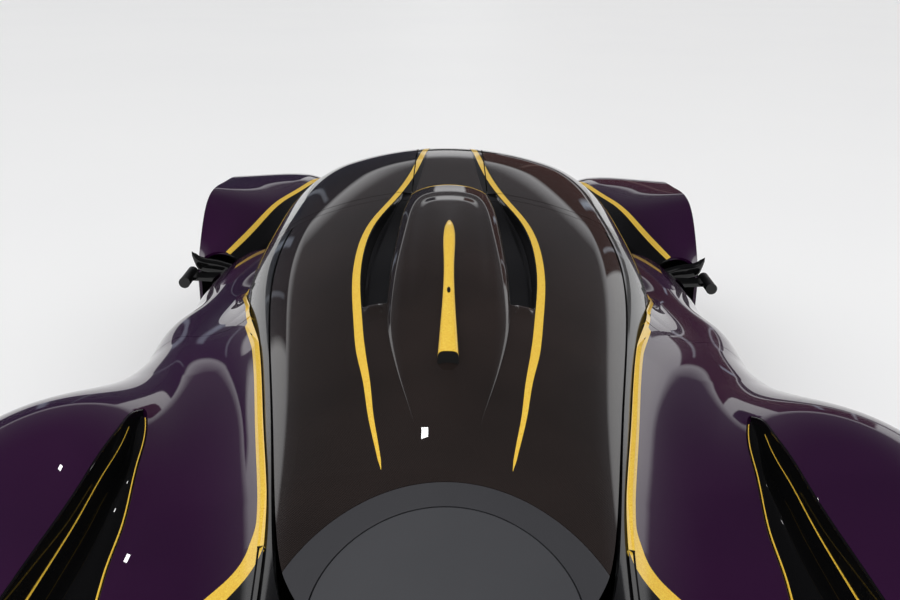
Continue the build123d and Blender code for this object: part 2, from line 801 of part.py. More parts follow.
# Diffuser ramp with upright fins
with BuildPart() as diffuser:
    with BuildSketch(side_plane(0.0)):
        with BuildLine():
            Polyline(
                (diffuser_front_y - seat_gap, ride_height), (diffuser_front_y - seat_gap, ride_height + diffuser_thickness),
                (rear_end_y, diffuser_rear_z + diffuser_thickness), (rear_end_y, diffuser_rear_z), close=True,
            )
        make_face()
    extrude(amount=diffuser_half_width, both=True)
    for x in (-420.0, -210.0, 210.0, 420.0):
        with BuildSketch(side_plane(x - fin_thickness / 2)):
            with BuildLine():
                Polyline(
                    (diffuser_front_y - 40.0, ride_height + 8.0), (rear_end_y, diffuser_rear_z + 4.0),
                    (rear_end_y, diffuser_rear_z - fin_height), (diffuser_front_y - 160.0, ride_height), close=True,
                )
            make_face()
        extrude(amount=fin_thickness)
save(diffuser.part, "diffuser")

# Tail panel across the rear with its lamps, cut to the outline of the bodies ahead of it
tail_y = QUARTER[-1][0]
with BuildPart() as tail_panel:
    add(side_body(QUARTER, panel_gap, tail_bottom_z))
    add(mirrored(side_body(QUARTER, panel_gap, tail_bottom_z)))
    add(centre_body(CANOPY, panel_gap, tail_bottom_z))
    add(body_block(tail_y, tail_y + tail_thickness, tail_bottom_z, 1500.0), mode=Mode.INTERSECT)
    add(duct.part, mode=Mode.SUBTRACT)
    add(mirrored(duct.part), mode=Mode.SUBTRACT)
    with BuildSketch(section_plane(tail_y + tail_thickness)):
        for side in (-1, 1):
            with Locations((side * exhaust_half_spacing, exhaust_z)):
                Circle(exhaust_radius + panel_gap)
    extrude(amount=tail_thickness, mode=Mode.SUBTRACT)
tail_panel_part = tail_panel.part.moved(Location((0.0, -tail_thickness - seat_gap, 0.0)))
save(tail_panel_part, "tail_panel")
with BuildPart() as tail_lamps:
    for side in (-1, 1):
        with BuildSketch(section_plane(tail_y - tail_thickness - 2 * seat_gap)):
            with Locations((side * lamp_centre_x, lamp_z)):
                RectangleRounded(lamp_length, lamp_height, lamp_height / 2 - 1.0)
        extrude(amount=10.0)
save(tail_lamps.part, "tail_lamps")

# Engine, gearbox and exhausts
with BuildPart() as engine:
    with BuildSketch(Plane.XY.offset(floor_top + seat_gap)):
        with Locations((0.0, (engine_front_y + engine_rear_y) / 2)):
            Rectangle(2 * engine_half_width, engine_front_y - engine_rear_y)
    extrude(amount=engine_top - floor_top - seat_gap)
save(engine.part, "engine")
with BuildPart() as gearbox:
    with BuildSketch(Plane.XY.offset(floor_top + seat_gap + 60.0)):
        with Locations((0.0, (engine_rear_y - seat_gap + gearbox_rear_y) / 2)):
            Rectangle(2 * gearbox_half_width, engine_rear_y - seat_gap - gearbox_rear_y)
    extrude(amount=gearbox_top - floor_top - seat_gap - 60.0)
save(gearbox.part, "gearbox")
with BuildPart() as exhausts:
    with BuildSketch(section_plane(silencer_front_y)):
        with Locations((0.0, (gearbox_top + seat_gap + silencer_top) / 2)):
            Rectangle(2 * silencer_half_width, silencer_top - gearbox_top - seat_gap)
    extrude(amount=silencer_front_y - silencer_rear_y)
    with BuildSketch(section_plane(silencer_rear_y)):
        for side in (-1, 1):
            with Locations((side * exhaust_half_spacing, exhaust_z)):
                Circle(exhaust_radius)
                Circle(exhaust_radius - exhaust_wall, mode=Mode.SUBTRACT)
    extrude(amount=silencer_rear_y - exhaust_end_y)
save(exhausts.part, "exhausts")

# Seats, dashboard and steering wheel
with BuildPart() as seat:
    with BuildSketch(side_plane(seat_offset - seat_half_width)):
        with BuildLine():
            Polyline(
                (seat_back_y + 650.0, tub_floor_top + seat_gap), (seat_back_y + 25.0, tub_floor_top + seat_gap),
                (seat_back_y, 720.0), (seat_back_y + 70.0, 735.0), (seat_back_y + 175.0, 300.0),
                (seat_back_y + 525.0, 240.0), (seat_back_y + 650.0, 265.0), close=True,
            )
        make_face()
    extrude(amount=2 * seat_half_width)
save_both(seat.part, "seats")
with BuildPart() as dashboard:
    with BuildSketch(side_plane(-620.0)):
        with BuildLine():
            Polyline((520.0, 560.0), (900.0, 560.0), (900.0, 680.0), (560.0, 700.0), (500.0, 640.0), close=True)
        make_face()
    extrude(amount=1240.0)
    add(centre_body(CANOPY, tub_wall + seat_gap, 0.0), mode=Mode.INTERSECT)
save(dashboard.part, "dashboard")
with BuildPart() as steering_wheel:
    wheel_plane = Plane(
        origin=(-seat_offset, steering_wheel_y, steering_wheel_z), x_dir=(1, 0, 0), z_dir=(0, -cos(radians(22)), sin(radians(22)))
    )
    with BuildSketch(wheel_plane):
        RectangleRounded(330.0, 230.0, 60.0)
        RectangleRounded(270.0, 150.0, 40.0, mode=Mode.SUBTRACT)
        RectangleRounded(120.0, 170.0, 20.0)
    extrude(amount=24.0)
    with BuildSketch(wheel_plane):
        Circle(22.0)
    extrude(amount=-195.0)
    add(dashboard.part.moved(Location((0.0, -seat_gap, 0.0))), mode=Mode.SUBTRACT)
save(steering_wheel.part, "steering_wheel")


# Wheels: one tyre, rim and brake disc for each corner
def wheel_profile(radius, width, rim_radius):
    """Tyre section in the plane of its axle, as half widths and radii."""
    half = width / 2
    side = [(half * 0.93, rim_radius + 2.0), (half, radius - 40.0), (half - 26.0, radius)]
    return side + [(-x, r) for x, r in reversed(side)]


def revolved(points, x, y, z):
    """Solid turned about an axle along X from (x offset, radius) points."""
    with BuildPart() as solid:
        with BuildSketch(Plane(origin=(x, y, z), x_dir=(1, 0, 0), z_dir=(0, -1, 0))):
            with BuildLine():
                Polyline(*points, close=True)
            make_face()
        revolve(axis=Axis((x, y, z), (1, 0, 0)))
    return solid.part


for end, axle_y, radius, width, rim_radius, half_track, disc_radius in (
    ("front", front_axle_y, front_tyre_radius, front_tyre_width, front_rim_radius, front_half_track, front_disc_radius),
    ("rear", rear_axle_y, rear_tyre_radius, rear_tyre_width, rear_rim_radius, rear_half_track, rear_disc_radius),
):
    half = width / 2
    tyre = revolved(wheel_profile(radius, width, rim_radius), half_track, axle_y, radius)
    save_pair(tyre, f"{end}_tyre")
    barrel = revolved(
        [
            (-half * 0.9, rim_radius + 1.5), (half * 0.93, rim_radius + 1.5), (half * 0.93, rim_radius - 12.0),
            (half * 0.8, rim_radius - 2.0 * rim_wall), (-half * 0.9, rim_radius - rim_wall),
        ],
        half_track, axle_y, radius,
    )
    face_x = half * 0.62
    hub_back = half_track - king_pin_inset + 60.0
    with BuildPart() as rim:
        add(barrel)
        with BuildSketch(side_plane(half_track + face_x - 22.0)):
            with Locations((axle_y, radius)):
                Circle(hub_radius)
                with PolarLocations(0.0, spoke_count):
                    with Locations((rim_radius / 2, 0.0)):
                        Rectangle(rim_radius - 14.0, 26.0)
        extrude(amount=22.0)
        with BuildSketch(side_plane(hub_back)):
            with Locations((axle_y, radius)):
                Circle(hub_radius)
        extrude(amount=half_track + face_x - hub_back)
        with BuildSketch(side_plane(hub_back)):
            with Locations((axle_y, radius)):
                Circle(stub_radius + stub_clearance)
        extrude(amount=half_track + face_x - 8.0 - hub_back, mode=Mode.SUBTRACT)
    save_pair(rim.part, f"{end}_rim")
    with BuildPart() as brake_disc:
        with BuildSketch(side_plane(hub_back + 2.0)):
            with Locations((axle_y, radius)):
                Circle(disc_radius)
                Circle(hub_radius + seat_gap, mode=Mode.SUBTRACT)
        extrude(amount=disc_thickness)
    save_pair(brake_disc.part, f"{end}_brake_disc")
    king_pin_x = half_track - king_pin_inset
    with BuildPart() as knuckle:
        with BuildSketch(Plane.XY.offset(radius - 110.0)):
            with Locations((king_pin_x, axle_y)):
                RectangleRounded(44.0, 70.0, 12.0)
        extrude(amount=220.0)
        with BuildSketch(side_plane(king_pin_x)):
            with Locations((axle_y, radius)):
                Circle(stub_radius)
        extrude(amount=half_track + face_x - 12.0 - king_pin_x)
        with BuildSketch(Plane.XY.offset(radius - 160.0)):
            with Locations((king_pin_x, axle_y)):
                Circle(king_pin_radius)
        extrude(amount=320.0)
        disc_face = hub_back + 2.0
        for x_from, x_to, low, high in (
            (king_pin_x + 10.0, hub_back - caliper_clearance + 1.0, 30.0, caliper_radius),
            (king_pin_x + 10.0, disc_face + disc_thickness + 14.0, disc_radius + caliper_clearance, caliper_radius),
            (disc_face + disc_thickness + 6.0, disc_face + disc_thickness + 14.0, disc_radius - 55.0, caliper_radius),
        ):
            with BuildSketch(side_plane(x_from)):
                with Locations((axle_y - (low + high) / 2, radius)):
                    Rectangle(high - low, caliper_height)
                with Locations((axle_y, radius)):
                    Circle(caliper_radius, mode=Mode.INTERSECT)
            extrude(amount=x_to - x_from)
    save_pair(knuckle.part, f"{end}_knuckle")
    inner_x = 360.0
    with BuildPart() as wishbones:
        for z, sleeve in ((radius - 140.0, 1), (radius + 140.0, 1)):
            with BuildSketch(Plane.XY.offset(z - wishbone_radius)):
                with Locations((king_pin_x, axle_y)):
                    Circle(king_pin_radius + 13.0)
                with BuildLine():
                    Polyline(
                        (king_pin_x, axle_y + 12.0), (inner_x, axle_y + wishbone_spread),
                        (inner_x, axle_y + wishbone_spread - 25.0), (king_pin_x - 40.0, axle_y),
                        (inner_x, axle_y - wishbone_spread + 25.0), (inner_x, axle_y - wishbone_spread),
                        (king_pin_x, axle_y - 12.0), close=True,
                    )
                make_face()
                with Locations((king_pin_x, axle_y)):
                    Circle(king_pin_radius + stub_clearance, mode=Mode.SUBTRACT)
            extrude(amount=2 * wishbone_radius)
        add(centre_body(CANOPY, -seat_gap, 0.0), mode=Mode.SUBTRACT)
        add(centre_body(NOSE, -seat_gap, 0.0), mode=Mode.SUBTRACT)
    save_both(wishbones.part, f"{end}_wishbones")

# Drive shafts between the gearbox and the rear knuckles
save_both(
    axle_cylinder(
        shaft_radius, gearbox_half_width + seat_gap, rear_half_track - king_pin_inset - 22.0 - seat_gap,
        rear_axle_y, rear_tyre_radius,
    ),
    "drive_shafts",
)

# Camera arms
with BuildPart() as camera_arm:
    with BuildSketch(section_plane(camera_y + camera_length / 2)):
        with Locations((camera_tip_x - camera_radius, camera_z)):
            Circle(camera_radius)
    extrude(amount=camera_length)
    with BuildSketch(Plane.XY.offset(camera_z - arm_thickness / 2)):
        with BuildLine():
            Polyline(
                (camera_tip_x - camera_radius, camera_y - 20.0), (camera_tip_x - camera_radius, camera_y + 40.0),
                (850.0, camera_y + 50.0), (850.0, camera_y - 40.0), close=True,
            )
        make_face()
    extrude(amount=arm_thickness)
    add(side_body(SIDE_POD, -seat_gap, 0.0), mode=Mode.SUBTRACT)
save_pair(camera_arm.part, "camera_arm")

# Headlamp lenses, flush in the front of the fenders
save_both(lamp_lens.part, "headlamps")
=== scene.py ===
"""Looks of a mid-engined two-seat hypercar: lacquered carbon body, candy purple fenders, gold stripes.

Metres. +Y is forwards, +X is the car's right side, +Z is up.
"""

from __future__ import annotations

import json
import logging
import math
from dataclasses import dataclass, field
from enum import Enum
from typing import Callable, Sequence

import bmesh
import bpy
import numpy as np
from mathutils import Matrix

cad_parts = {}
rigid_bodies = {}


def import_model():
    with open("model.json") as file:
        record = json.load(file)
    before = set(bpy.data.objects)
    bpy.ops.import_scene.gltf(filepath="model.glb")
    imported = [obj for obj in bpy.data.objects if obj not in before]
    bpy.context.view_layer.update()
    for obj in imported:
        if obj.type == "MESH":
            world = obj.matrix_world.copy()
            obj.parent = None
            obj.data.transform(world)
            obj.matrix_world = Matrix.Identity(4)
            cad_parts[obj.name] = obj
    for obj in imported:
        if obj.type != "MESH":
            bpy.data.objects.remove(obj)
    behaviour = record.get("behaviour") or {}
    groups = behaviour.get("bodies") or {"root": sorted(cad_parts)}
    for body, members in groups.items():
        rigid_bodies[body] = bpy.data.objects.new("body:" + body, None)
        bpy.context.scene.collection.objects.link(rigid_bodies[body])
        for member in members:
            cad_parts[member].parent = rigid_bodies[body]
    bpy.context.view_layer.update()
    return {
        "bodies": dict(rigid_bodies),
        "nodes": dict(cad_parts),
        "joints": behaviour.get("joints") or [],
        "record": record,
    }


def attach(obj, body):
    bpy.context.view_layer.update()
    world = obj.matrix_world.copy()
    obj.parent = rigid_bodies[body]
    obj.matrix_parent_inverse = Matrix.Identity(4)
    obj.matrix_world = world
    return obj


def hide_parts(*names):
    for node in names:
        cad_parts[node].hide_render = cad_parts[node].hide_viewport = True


LOG = logging.getLogger("car")
MM = 0.001
SEAM = 1e-5

Array = np.ndarray
Points = np.ndarray
Row = tuple[float, ...]
Pair = tuple[float, float]
Triple = tuple[float, float, float]
Colour = tuple[float, float, float, float]
Clip = Callable[[Points], Array]
Field = Callable[[Array, Array], Array]
Material = bpy.types.Material


class Side(Enum):
    """The two sides of the car."""

    RIGHT = 1
    LEFT = -1

    @property
    def word(self) -> str:
        """Name used in the nodes of this side."""
        return self.name.lower()

    def turned(self, patch: Patch) -> Patch:
        """A right-hand patch, put on this side."""
        return patch if self is Side.RIGHT else patch.mirrored()


@dataclass(eq=False)
class Socket:
    """A shader socket, on its board, with the operators that the finishes use."""

    board: Board
    link: bpy.types.NodeSocket

    def _maths(self, word: str, *values: Socket | float) -> Socket:
        """Output of a new Math node with these inputs in order."""
        return self.board.node("ShaderNodeMath", {"operation": word}, dict(enumerate(values)))

    def __add__(self, other: Socket | float) -> Socket:
        """Sum."""
        return self._maths("ADD", self, other)

    def __radd__(self, other: Socket | float) -> Socket:
        """Sum, reflected."""
        return self._maths("ADD", other, self)

    def __mul__(self, other: Socket | float) -> Socket:
        """Product."""
        return self._maths("MULTIPLY", self, other)

    def __rmul__(self, other: Socket | float) -> Socket:
        """Product, reflected."""
        return self._maths("MULTIPLY", other, self)

    def __sub__(self, other: Socket | float) -> Socket:
        """Difference."""
        return self._maths("SUBTRACT", self, other)

    def __rsub__(self, other: Socket | float) -> Socket:
        """Difference, reflected."""
        return self._maths("SUBTRACT", other, self)

    def __truediv__(self, other: Socket | float) -> Socket:
        """Quotient."""
        return self._maths("DIVIDE", self, other)

    def __rtruediv__(self, other: Socket | float) -> Socket:
        """Quotient, reflected."""
        return self._maths("DIVIDE", other, self)

    def __gt__(self, other: Socket | float) -> Socket:
        """One where this is greater."""
        return self._maths("GREATER_THAN", self, other)

    def __lt__(self, other: Socket | float) -> Socket:
        """One where this is less."""
        return self._maths("LESS_THAN", self, other)

    def __pow__(self, exponent: float) -> Socket:
        """This raised to an exponent."""
        return self._maths("POWER", self, exponent)

    def __abs__(self) -> Socket:
        """Size without sign."""
        return self._maths("ABSOLUTE", self)

    def sine(self) -> Socket:
        """Sine of radians."""
        return self._maths("SINE", self)

    def clamped(self) -> Socket:
        """Limited to 0 to 1."""
        return self.board.node("ShaderNodeClamp", {}, {"Value": self})


class Board:
    """Node tree of one material or world."""

    def __init__(self, owner: Material | bpy.types.World) -> None:
        """Empty the owner's nodes.

        Args:
            owner: what the tree belongs to.
        """
        self.owner = owner
        owner.use_nodes = True
        self.tree = owner.node_tree
        self.tree.nodes.clear()

    @classmethod
    def material(cls, name: str) -> Board:
        """Board of a new material."""
        return cls(bpy.data.materials.new(name))

    @classmethod
    def world(cls, name: str) -> Board:
        """Board of a new world."""
        return cls(bpy.data.worlds.new(name))

    def node(
        self, kind: str, settings: dict[str, object], inputs: dict[int | str, object], output: int | str = 0
    ) -> Socket | None:
        """Add a node.

        Args:
            kind: the node's type.
            settings: its properties; a ramp's stops go under "stops".
            inputs: values or sockets by input name or index.
            output: which output to return.

        Returns:
            The chosen output, or nothing for a node without outputs.
        """
        made = self.tree.nodes.new(kind)
        for name, value in settings.items():
            if name == "stops":
                ramp = made.color_ramp
                while len(ramp.elements) < len(value):
                    ramp.elements.new(0.5)
                for element, (place, colour) in zip(ramp.elements, value):
                    element.position = place
                    element.color = colour
            else:
                setattr(made, name, value)
        for key, value in inputs.items():
            if isinstance(value, Socket):
                self.tree.links.new(value.link, made.inputs[key])
            elif value is not None:
                made.inputs[key].default_value = value
        return Socket(self, made.outputs[output]) if len(made.outputs) else None

    def place(self) -> Socket:
        """Object coordinates in metres."""
        return self.node("ShaderNodeTexCoord", {}, {}, "Object")

    def along(self, vector: Socket, direction: Triple) -> Socket:
        """Length of a vector along a direction."""
        inputs = {0: vector, 1: direction}
        return self.node("ShaderNodeVectorMath", {"operation": "DOT_PRODUCT"}, inputs, "Value")

    def cells(self, vector: Socket, scale: float, output: str) -> Socket:
        """Cells of random colour, or the distance from their middles."""
        inputs = {"Vector": vector, "Scale": scale}
        return self.node("ShaderNodeTexVoronoi", {"feature": "F1"}, inputs, output)

    def ray(self, question: str) -> Socket:
        """One for rays of the kind in question."""
        return self.node("ShaderNodeLightPath", {}, {}, question)

    def background(self, colour: object, strength: float = 1.0) -> Socket:
        """Light of a world."""
        return self.node("ShaderNodeBackground", {}, {"Color": colour, "Strength": strength})

    def noise(self, vector: Socket, scale: float, detail: float = 2.0) -> Socket:
        """Noise between 0 and 1."""
        return self.node("ShaderNodeTexNoise", {}, {"Vector": vector, "Scale": scale, "Detail": detail}, 0)

    def mixed(self, share: Socket, low: object, high: object) -> Socket:
        """Colour between two colours."""
        return self.node("ShaderNodeMix", {"data_type": "RGBA"}, {0: share, 6: low, 7: high}, 2)

    def bumped(self, height: Socket, strength: float, distance: float) -> Socket:
        """Normal bent by a height."""
        inputs = {"Strength": strength, "Distance": distance, "Height": height}
        return self.node("ShaderNodeBump", {}, inputs)

    def finish(self, **sockets: object) -> Material:
        """Add the Principled shader and close the material.

        Args:
            sockets: its inputs, with underscores for spaces.

        Returns:
            The material.
        """
        inputs = {name.replace("_", " "): value for name, value in sockets.items()}
        bsdf = self.node("ShaderNodeBsdfPrincipled", {}, inputs)
        self.node("ShaderNodeOutputMaterial", {}, {"Surface": bsdf})
        return self.owner


def rgb(red: float, green: float, blue: float) -> Colour:
    """Colour with full alpha."""
    return (red, green, blue, 1.0)


@dataclass(frozen=True)
class LacqueredCarbon:
    """Fine twill under deep lacquer, tinted warm."""

    name: str = "lacquered_carbon"
    dark: Colour = rgb(0.0065, 0.0050, 0.0045)
    bright: Colour = rgb(0.036, 0.0240, 0.0210)
    tow: float = 0.0042
    slant: Pair = (0.9, 0.45)
    cloud_scale: float = 2.6
    roughness: float = 0.45
    coat_roughness: float = 0.008
    specular: float = 0.05

    def material(self) -> Material:
        """Build the finish.

        Returns:
            Its material.
        """
        board = Board.material(self.name)
        place = board.place()
        turn = math.tau / self.tow
        ahead, up = turn * self.slant[0], turn * self.slant[1]
        warp = board.along(place, (turn, ahead, up)).sine()
        weft = board.along(place, (turn, -ahead, -up)).sine()
        weave = (warp * 0.5 + weft * 0.25 + 0.5).clamped()
        cloud = board.noise(place, self.cloud_scale)
        shade = (weave * (cloud * 0.9) + cloud * 0.25).clamped()
        return board.finish(
            Base_Color=board.mixed(shade, self.dark, self.bright), Roughness=self.roughness, Coat_Weight=1.0,
            Coat_Roughness=self.coat_roughness, Specular_IOR_Level=self.specular,
        )


@dataclass(frozen=True)
class CandyPaint:
    """Deep translucent colour with fine metal flake under clear lacquer."""

    name: str = "candy_purple"
    deep: Colour = rgb(0.0120, 0.0012, 0.0170)
    lit: Colour = rgb(0.044, 0.0035, 0.046)
    flake_scale: float = 2600.0
    cloud_scale: float = 1.8
    metallic: float = 0.15
    roughness: float = 0.40
    coat_roughness: float = 0.006
    specular: float = 0.08

    def material(self) -> Material:
        """Build the finish.

        Returns:
            Its material.
        """
        board = Board.material(self.name)
        place = board.place()
        flake = board.noise(place, self.flake_scale, 0.0)
        cloud = board.noise(place, self.cloud_scale)
        share = (flake * 0.45 + cloud * 0.55 - 0.10).clamped()
        return board.finish(
            Base_Color=board.mixed(share, self.deep, self.lit), Metallic=self.metallic,
            Roughness=self.roughness, Coat_Weight=1.0, Coat_Roughness=self.coat_roughness,
            Specular_IOR_Level=self.specular,
        )


@dataclass(frozen=True)
class GoldFlake:
    """Yellow gold full of coarse flake under lacquer."""

    name: str = "gold_flake"
    deep: Colour = rgb(0.78, 0.40, 0.008)
    lit: Colour = rgb(1.00, 0.74, 0.10)
    flake_scale: float = 520.0
    metallic: float = 0.10
    coat: float = 0.6

    def material(self) -> Material:
        """Build the finish.

        Returns:
            Its material.
        """
        board = Board.material(self.name)
        flake = board.cells(board.place(), self.flake_scale, "Color")
        speck = board.along(flake, (0.4, 0.3, 0.3))
        return board.finish(
            Base_Color=board.mixed(speck, self.deep, self.lit), Metallic=self.metallic,
            Roughness=speck * 0.25 + 0.25, Coat_Weight=self.coat, Coat_Roughness=0.02,
        )


@dataclass(frozen=True)
class Grained:
    """A finish with a soft mottle and a fine grain: plastic, rubber, metal, cloth."""

    name: str
    dark: Colour
    bright: Colour
    metallic: float = 0.0
    roughness: float = 0.5
    spread: float = 0.1
    coat: float = 0.0
    scale: float = 180.0
    bump: float = 0.0
    specular: float = 0.5

    def material(self) -> Material:
        """Build the finish.

        Returns:
            Its material.
        """
        board = Board.material(self.name)
        place = board.place()
        grain = board.noise(place, self.scale, 3.0)
        cloud = board.noise(place, 6.0)
        share = (grain * 0.6 + cloud * 0.4).clamped()
        colour = board.mixed(share, self.dark, self.bright)
        rough = (grain - 0.5) * self.spread + self.roughness
        more: dict[str, object] = {"Normal": board.bumped(grain, self.bump, 0.0006)} if self.bump else {}
        return board.finish(
            Base_Color=colour, Metallic=self.metallic, Roughness=rough, Coat_Weight=self.coat,
            Coat_Roughness=0.02, Specular_IOR_Level=self.specular, **more,
        )


@dataclass(frozen=True)
class Stitched:
    """Dark leather with a pebbled grain and channels sewn across it."""

    name: str = "stitched_leather"
    dark: Colour = rgb(0.008, 0.007, 0.009)
    bright: Colour = rgb(0.030, 0.026, 0.032)
    thread: Colour = rgb(0.45, 0.26, 0.03)
    pitch: float = 0.045
    pebble_scale: float = 650.0
    cloud_scale: float = 9.0
    seam: float = 0.08

    def material(self) -> Material:
        """Build the finish.

        Returns:
            Its material.
        """
        board = Board.material(self.name)
        place = board.place()
        pebble = board.cells(place, self.pebble_scale, "Distance")
        rows = abs(board.along(place, (math.pi / self.pitch, 0.0, 0.0)).sine())
        shade = (pebble * 0.8 + board.noise(place, self.cloud_scale) * 0.4).clamped()
        hide = board.mixed(shade, self.dark, self.bright)
        return board.finish(
            Base_Color=board.mixed(rows < self.seam, hide, self.thread), Roughness=pebble * 0.2 + 0.5,
            Normal=board.bumped(pebble * 0.4 + (rows * 4.0).clamped(), 0.5, 0.001),
        )


@dataclass(frozen=True)
class WireMesh:
    """Black wire mesh for openings, drawn by bump, with its holes painted near-black: painted shade of the
    space behind the wires.
    """

    name: str = "wire_mesh"
    wire: Colour = rgb(0.035, 0.034, 0.036)
    # painted shade seen through the holes
    hole: Colour = rgb(0.0015, 0.0015, 0.0018)
    pitch: float = 0.009
    slant: Pair = (0.7, 0.4)

    def material(self) -> Material:
        """Build the finish.

        Returns:
            Its material.
        """
        board = Board.material(self.name)
        place = board.place()
        turn = math.pi / self.pitch
        ahead, up = turn * self.slant[0], turn * self.slant[1]
        one = abs(board.along(place, (turn, ahead, up)).sine())
        two = abs(board.along(place, (turn, -ahead, up)).sine())
        # one in the holes, where the painted shade goes
        open_share = ((one * two) * 2.2).clamped()
        return board.finish(
            Base_Color=board.mixed(open_share, self.wire, self.hole), Metallic=0.3,
            Roughness=open_share * 0.3 + 0.25, Coat_Weight=0.4, Coat_Roughness=0.05,
            Normal=board.bumped(open_share, 0.6, 0.002),
        )


@dataclass(frozen=True)
class DarkGlass:
    """Deeply tinted laminated glass."""

    name: str = "dark_glass"
    tint: Colour = rgb(0.030, 0.028, 0.030)
    deep: Colour = rgb(0.014, 0.011, 0.012)
    cloud_scale: float = 1.5
    alpha: float = 0.82

    def material(self) -> Material:
        """Build the finish.

        Returns:
            Its material.
        """
        board = Board.material(self.name)
        cloud = board.noise(board.place(), self.cloud_scale)
        return board.finish(
            Base_Color=board.mixed(cloud, self.tint, self.deep), Roughness=0.03, Coat_Weight=1.0,
            Coat_Roughness=0.01, Alpha=self.alpha,
        )


@dataclass(frozen=True)
class LampRed:
    """Ribbed red lamp bar with a faint glow."""

    name: str = "lamp_red"
    deep: Colour = rgb(0.25, 0.004, 0.006)
    lit: Colour = rgb(0.60, 0.012, 0.014)
    rib_turn: float = 900.0
    glow: float = 0.35

    def material(self) -> Material:
        """Build the finish.

        Returns:
            Its material.
        """
        board = Board.material(self.name)
        ribs = board.along(board.place(), (self.rib_turn, 0.0, 0.0)).sine() * 0.5 + 0.5
        colour = board.mixed(ribs, self.deep, self.lit)
        return board.finish(
            Base_Color=colour, Roughness=0.12, Coat_Weight=1.0, Emission_Color=colour,
            Emission_Strength=self.glow,
        )


class Palette:
    """All the finishes, made once."""

    def __init__(self) -> None:
        """Build every material."""
        self.carbon = LacqueredCarbon().material()
        self.purple = CandyPaint().material()
        self.gold = GoldFlake().material()
        self.glass = DarkGlass().material()
        self.red = LampRed().material()
        self.leather = Stitched().material()
        self.mesh = WireMesh().material()
        self.gloss_black = Grained(
            "gloss_black", rgb(0.002, 0.002, 0.0022), rgb(0.006, 0.006, 0.0065), roughness=0.30, spread=0.05,
            coat=0.8, specular=0.05,
        ).material()
        self.matt_carbon = Grained(
            "matt_carbon", rgb(0.006, 0.006, 0.007), rgb(0.030, 0.030, 0.032), metallic=0.1, roughness=0.48,
            spread=0.15, scale=420.0, bump=0.3,
        ).material()
        self.shield_ring = Grained(
            "satin_ring", rgb(0.036, 0.036, 0.041), rgb(0.052, 0.052, 0.058), metallic=0.1, roughness=0.40,
            spread=0.05, scale=900.0, bump=0.05,
        ).material()
        self.shield_panel = Grained(
            "satin_panel", rgb(0.046, 0.047, 0.053), rgb(0.064, 0.065, 0.072), metallic=0.1, roughness=0.42,
            spread=0.05, scale=900.0, bump=0.05,
        ).material()
        self.tyre = Grained(
            "tyre_rubber", rgb(0.010, 0.010, 0.010), rgb(0.026, 0.026, 0.026), roughness=0.75, spread=0.12,
            scale=260.0, bump=0.5,
        ).material()
        self.wheel = Grained(
            "forged_wheel", rgb(0.012, 0.012, 0.013), rgb(0.034, 0.034, 0.036), metallic=0.8, roughness=0.28,
            spread=0.08, coat=0.6, scale=300.0,
        ).material()
        self.disc = Grained(
            "ceramic_disc", rgb(0.09, 0.09, 0.095), rgb(0.20, 0.20, 0.20), metallic=0.6, roughness=0.38,
            spread=0.15, scale=700.0,
        ).material()
        self.alloy = Grained(
            "machined_alloy", rgb(0.28, 0.28, 0.29), rgb(0.46, 0.46, 0.48), metallic=0.9, roughness=0.34,
            scale=300.0,
        ).material()
        self.exhaust = Grained(
            "heat_tinted_steel", rgb(0.20, 0.14, 0.10), rgb(0.42, 0.36, 0.33), metallic=0.95, roughness=0.30,
            spread=0.15, scale=60.0,
        ).material()
        self.cloth = Grained(
            "woven_trim", rgb(0.008, 0.008, 0.010), rgb(0.034, 0.032, 0.036), roughness=0.85, scale=900.0,
            bump=0.8,
        ).material()
        self.lamp = Grained(
            "lamp_lens", rgb(0.30, 0.30, 0.31), rgb(0.55, 0.55, 0.57), metallic=0.3, roughness=0.08,
            spread=0.03, coat=1.0, scale=40.0,
        ).material()
        # near-black painted shade for the insides of panels and for the sheets in the scoop's mouth, the
        # pod's throat and its port
        self.void = Grained(
            "shadow_liner", rgb(0.0015, 0.0015, 0.0016), rgb(0.004, 0.004, 0.004), roughness=0.60,
        ).material()


def spline(knots: Sequence[float], values: Sequence[float], at: Array) -> Array:
    """Natural cubic curve through points, level beyond them.

    Args:
        knots: places in rising or falling order.
        values: heights there.
        at: places to read.

    Returns:
        The heights.
    """
    x, y = np.asarray(knots, float), np.asarray(values, float)
    if x[0] > x[-1]:
        x, y = x[::-1], y[::-1]
    n = len(x)
    h = np.diff(x)
    matrix = np.eye(n)
    right = np.zeros(n)
    for i in range(1, n - 1):
        matrix[i, i - 1 : i + 2] = (h[i - 1], 2 * (h[i - 1] + h[i]), h[i])
        right[i] = 6 * ((y[i + 1] - y[i]) / h[i] - (y[i] - y[i - 1]) / h[i - 1])
    bend = np.linalg.solve(matrix, right)
    at = np.asarray(at, float)
    i = np.clip(np.searchsorted(x, at) - 1, 0, n - 2)
    t = np.clip(at, x[0], x[-1]) - x[i]
    slope = (y[i + 1] - y[i]) / h[i] - h[i] * (2 * bend[i] + bend[i + 1]) / 6
    return y[i] + slope * t + bend[i] * t**2 / 2 + (bend[i + 1] - bend[i]) * t**3 / (6 * h[i])


def ease(value: Array, low: float, high: float) -> Array:
    """Smooth step from 0 at low to 1 at high."""
    t = np.clip((value - low) / (high - low), 0.0, 1.0)
    return t * t * (3 - 2 * t)


def all_of(*values: Array, blur: float = 0.0) -> Array:
    """Field that is positive where all are.

    Args:
        values: the fields.
        blur: how far the corners between them are rounded.

    Returns:
        The least of them.
    """
    if not blur:
        return np.minimum.reduce(values)
    stacked = np.stack(values)
    least = stacked.min(0)
    return least - blur * np.log(np.exp(-(stacked - least) / blur).sum(0))


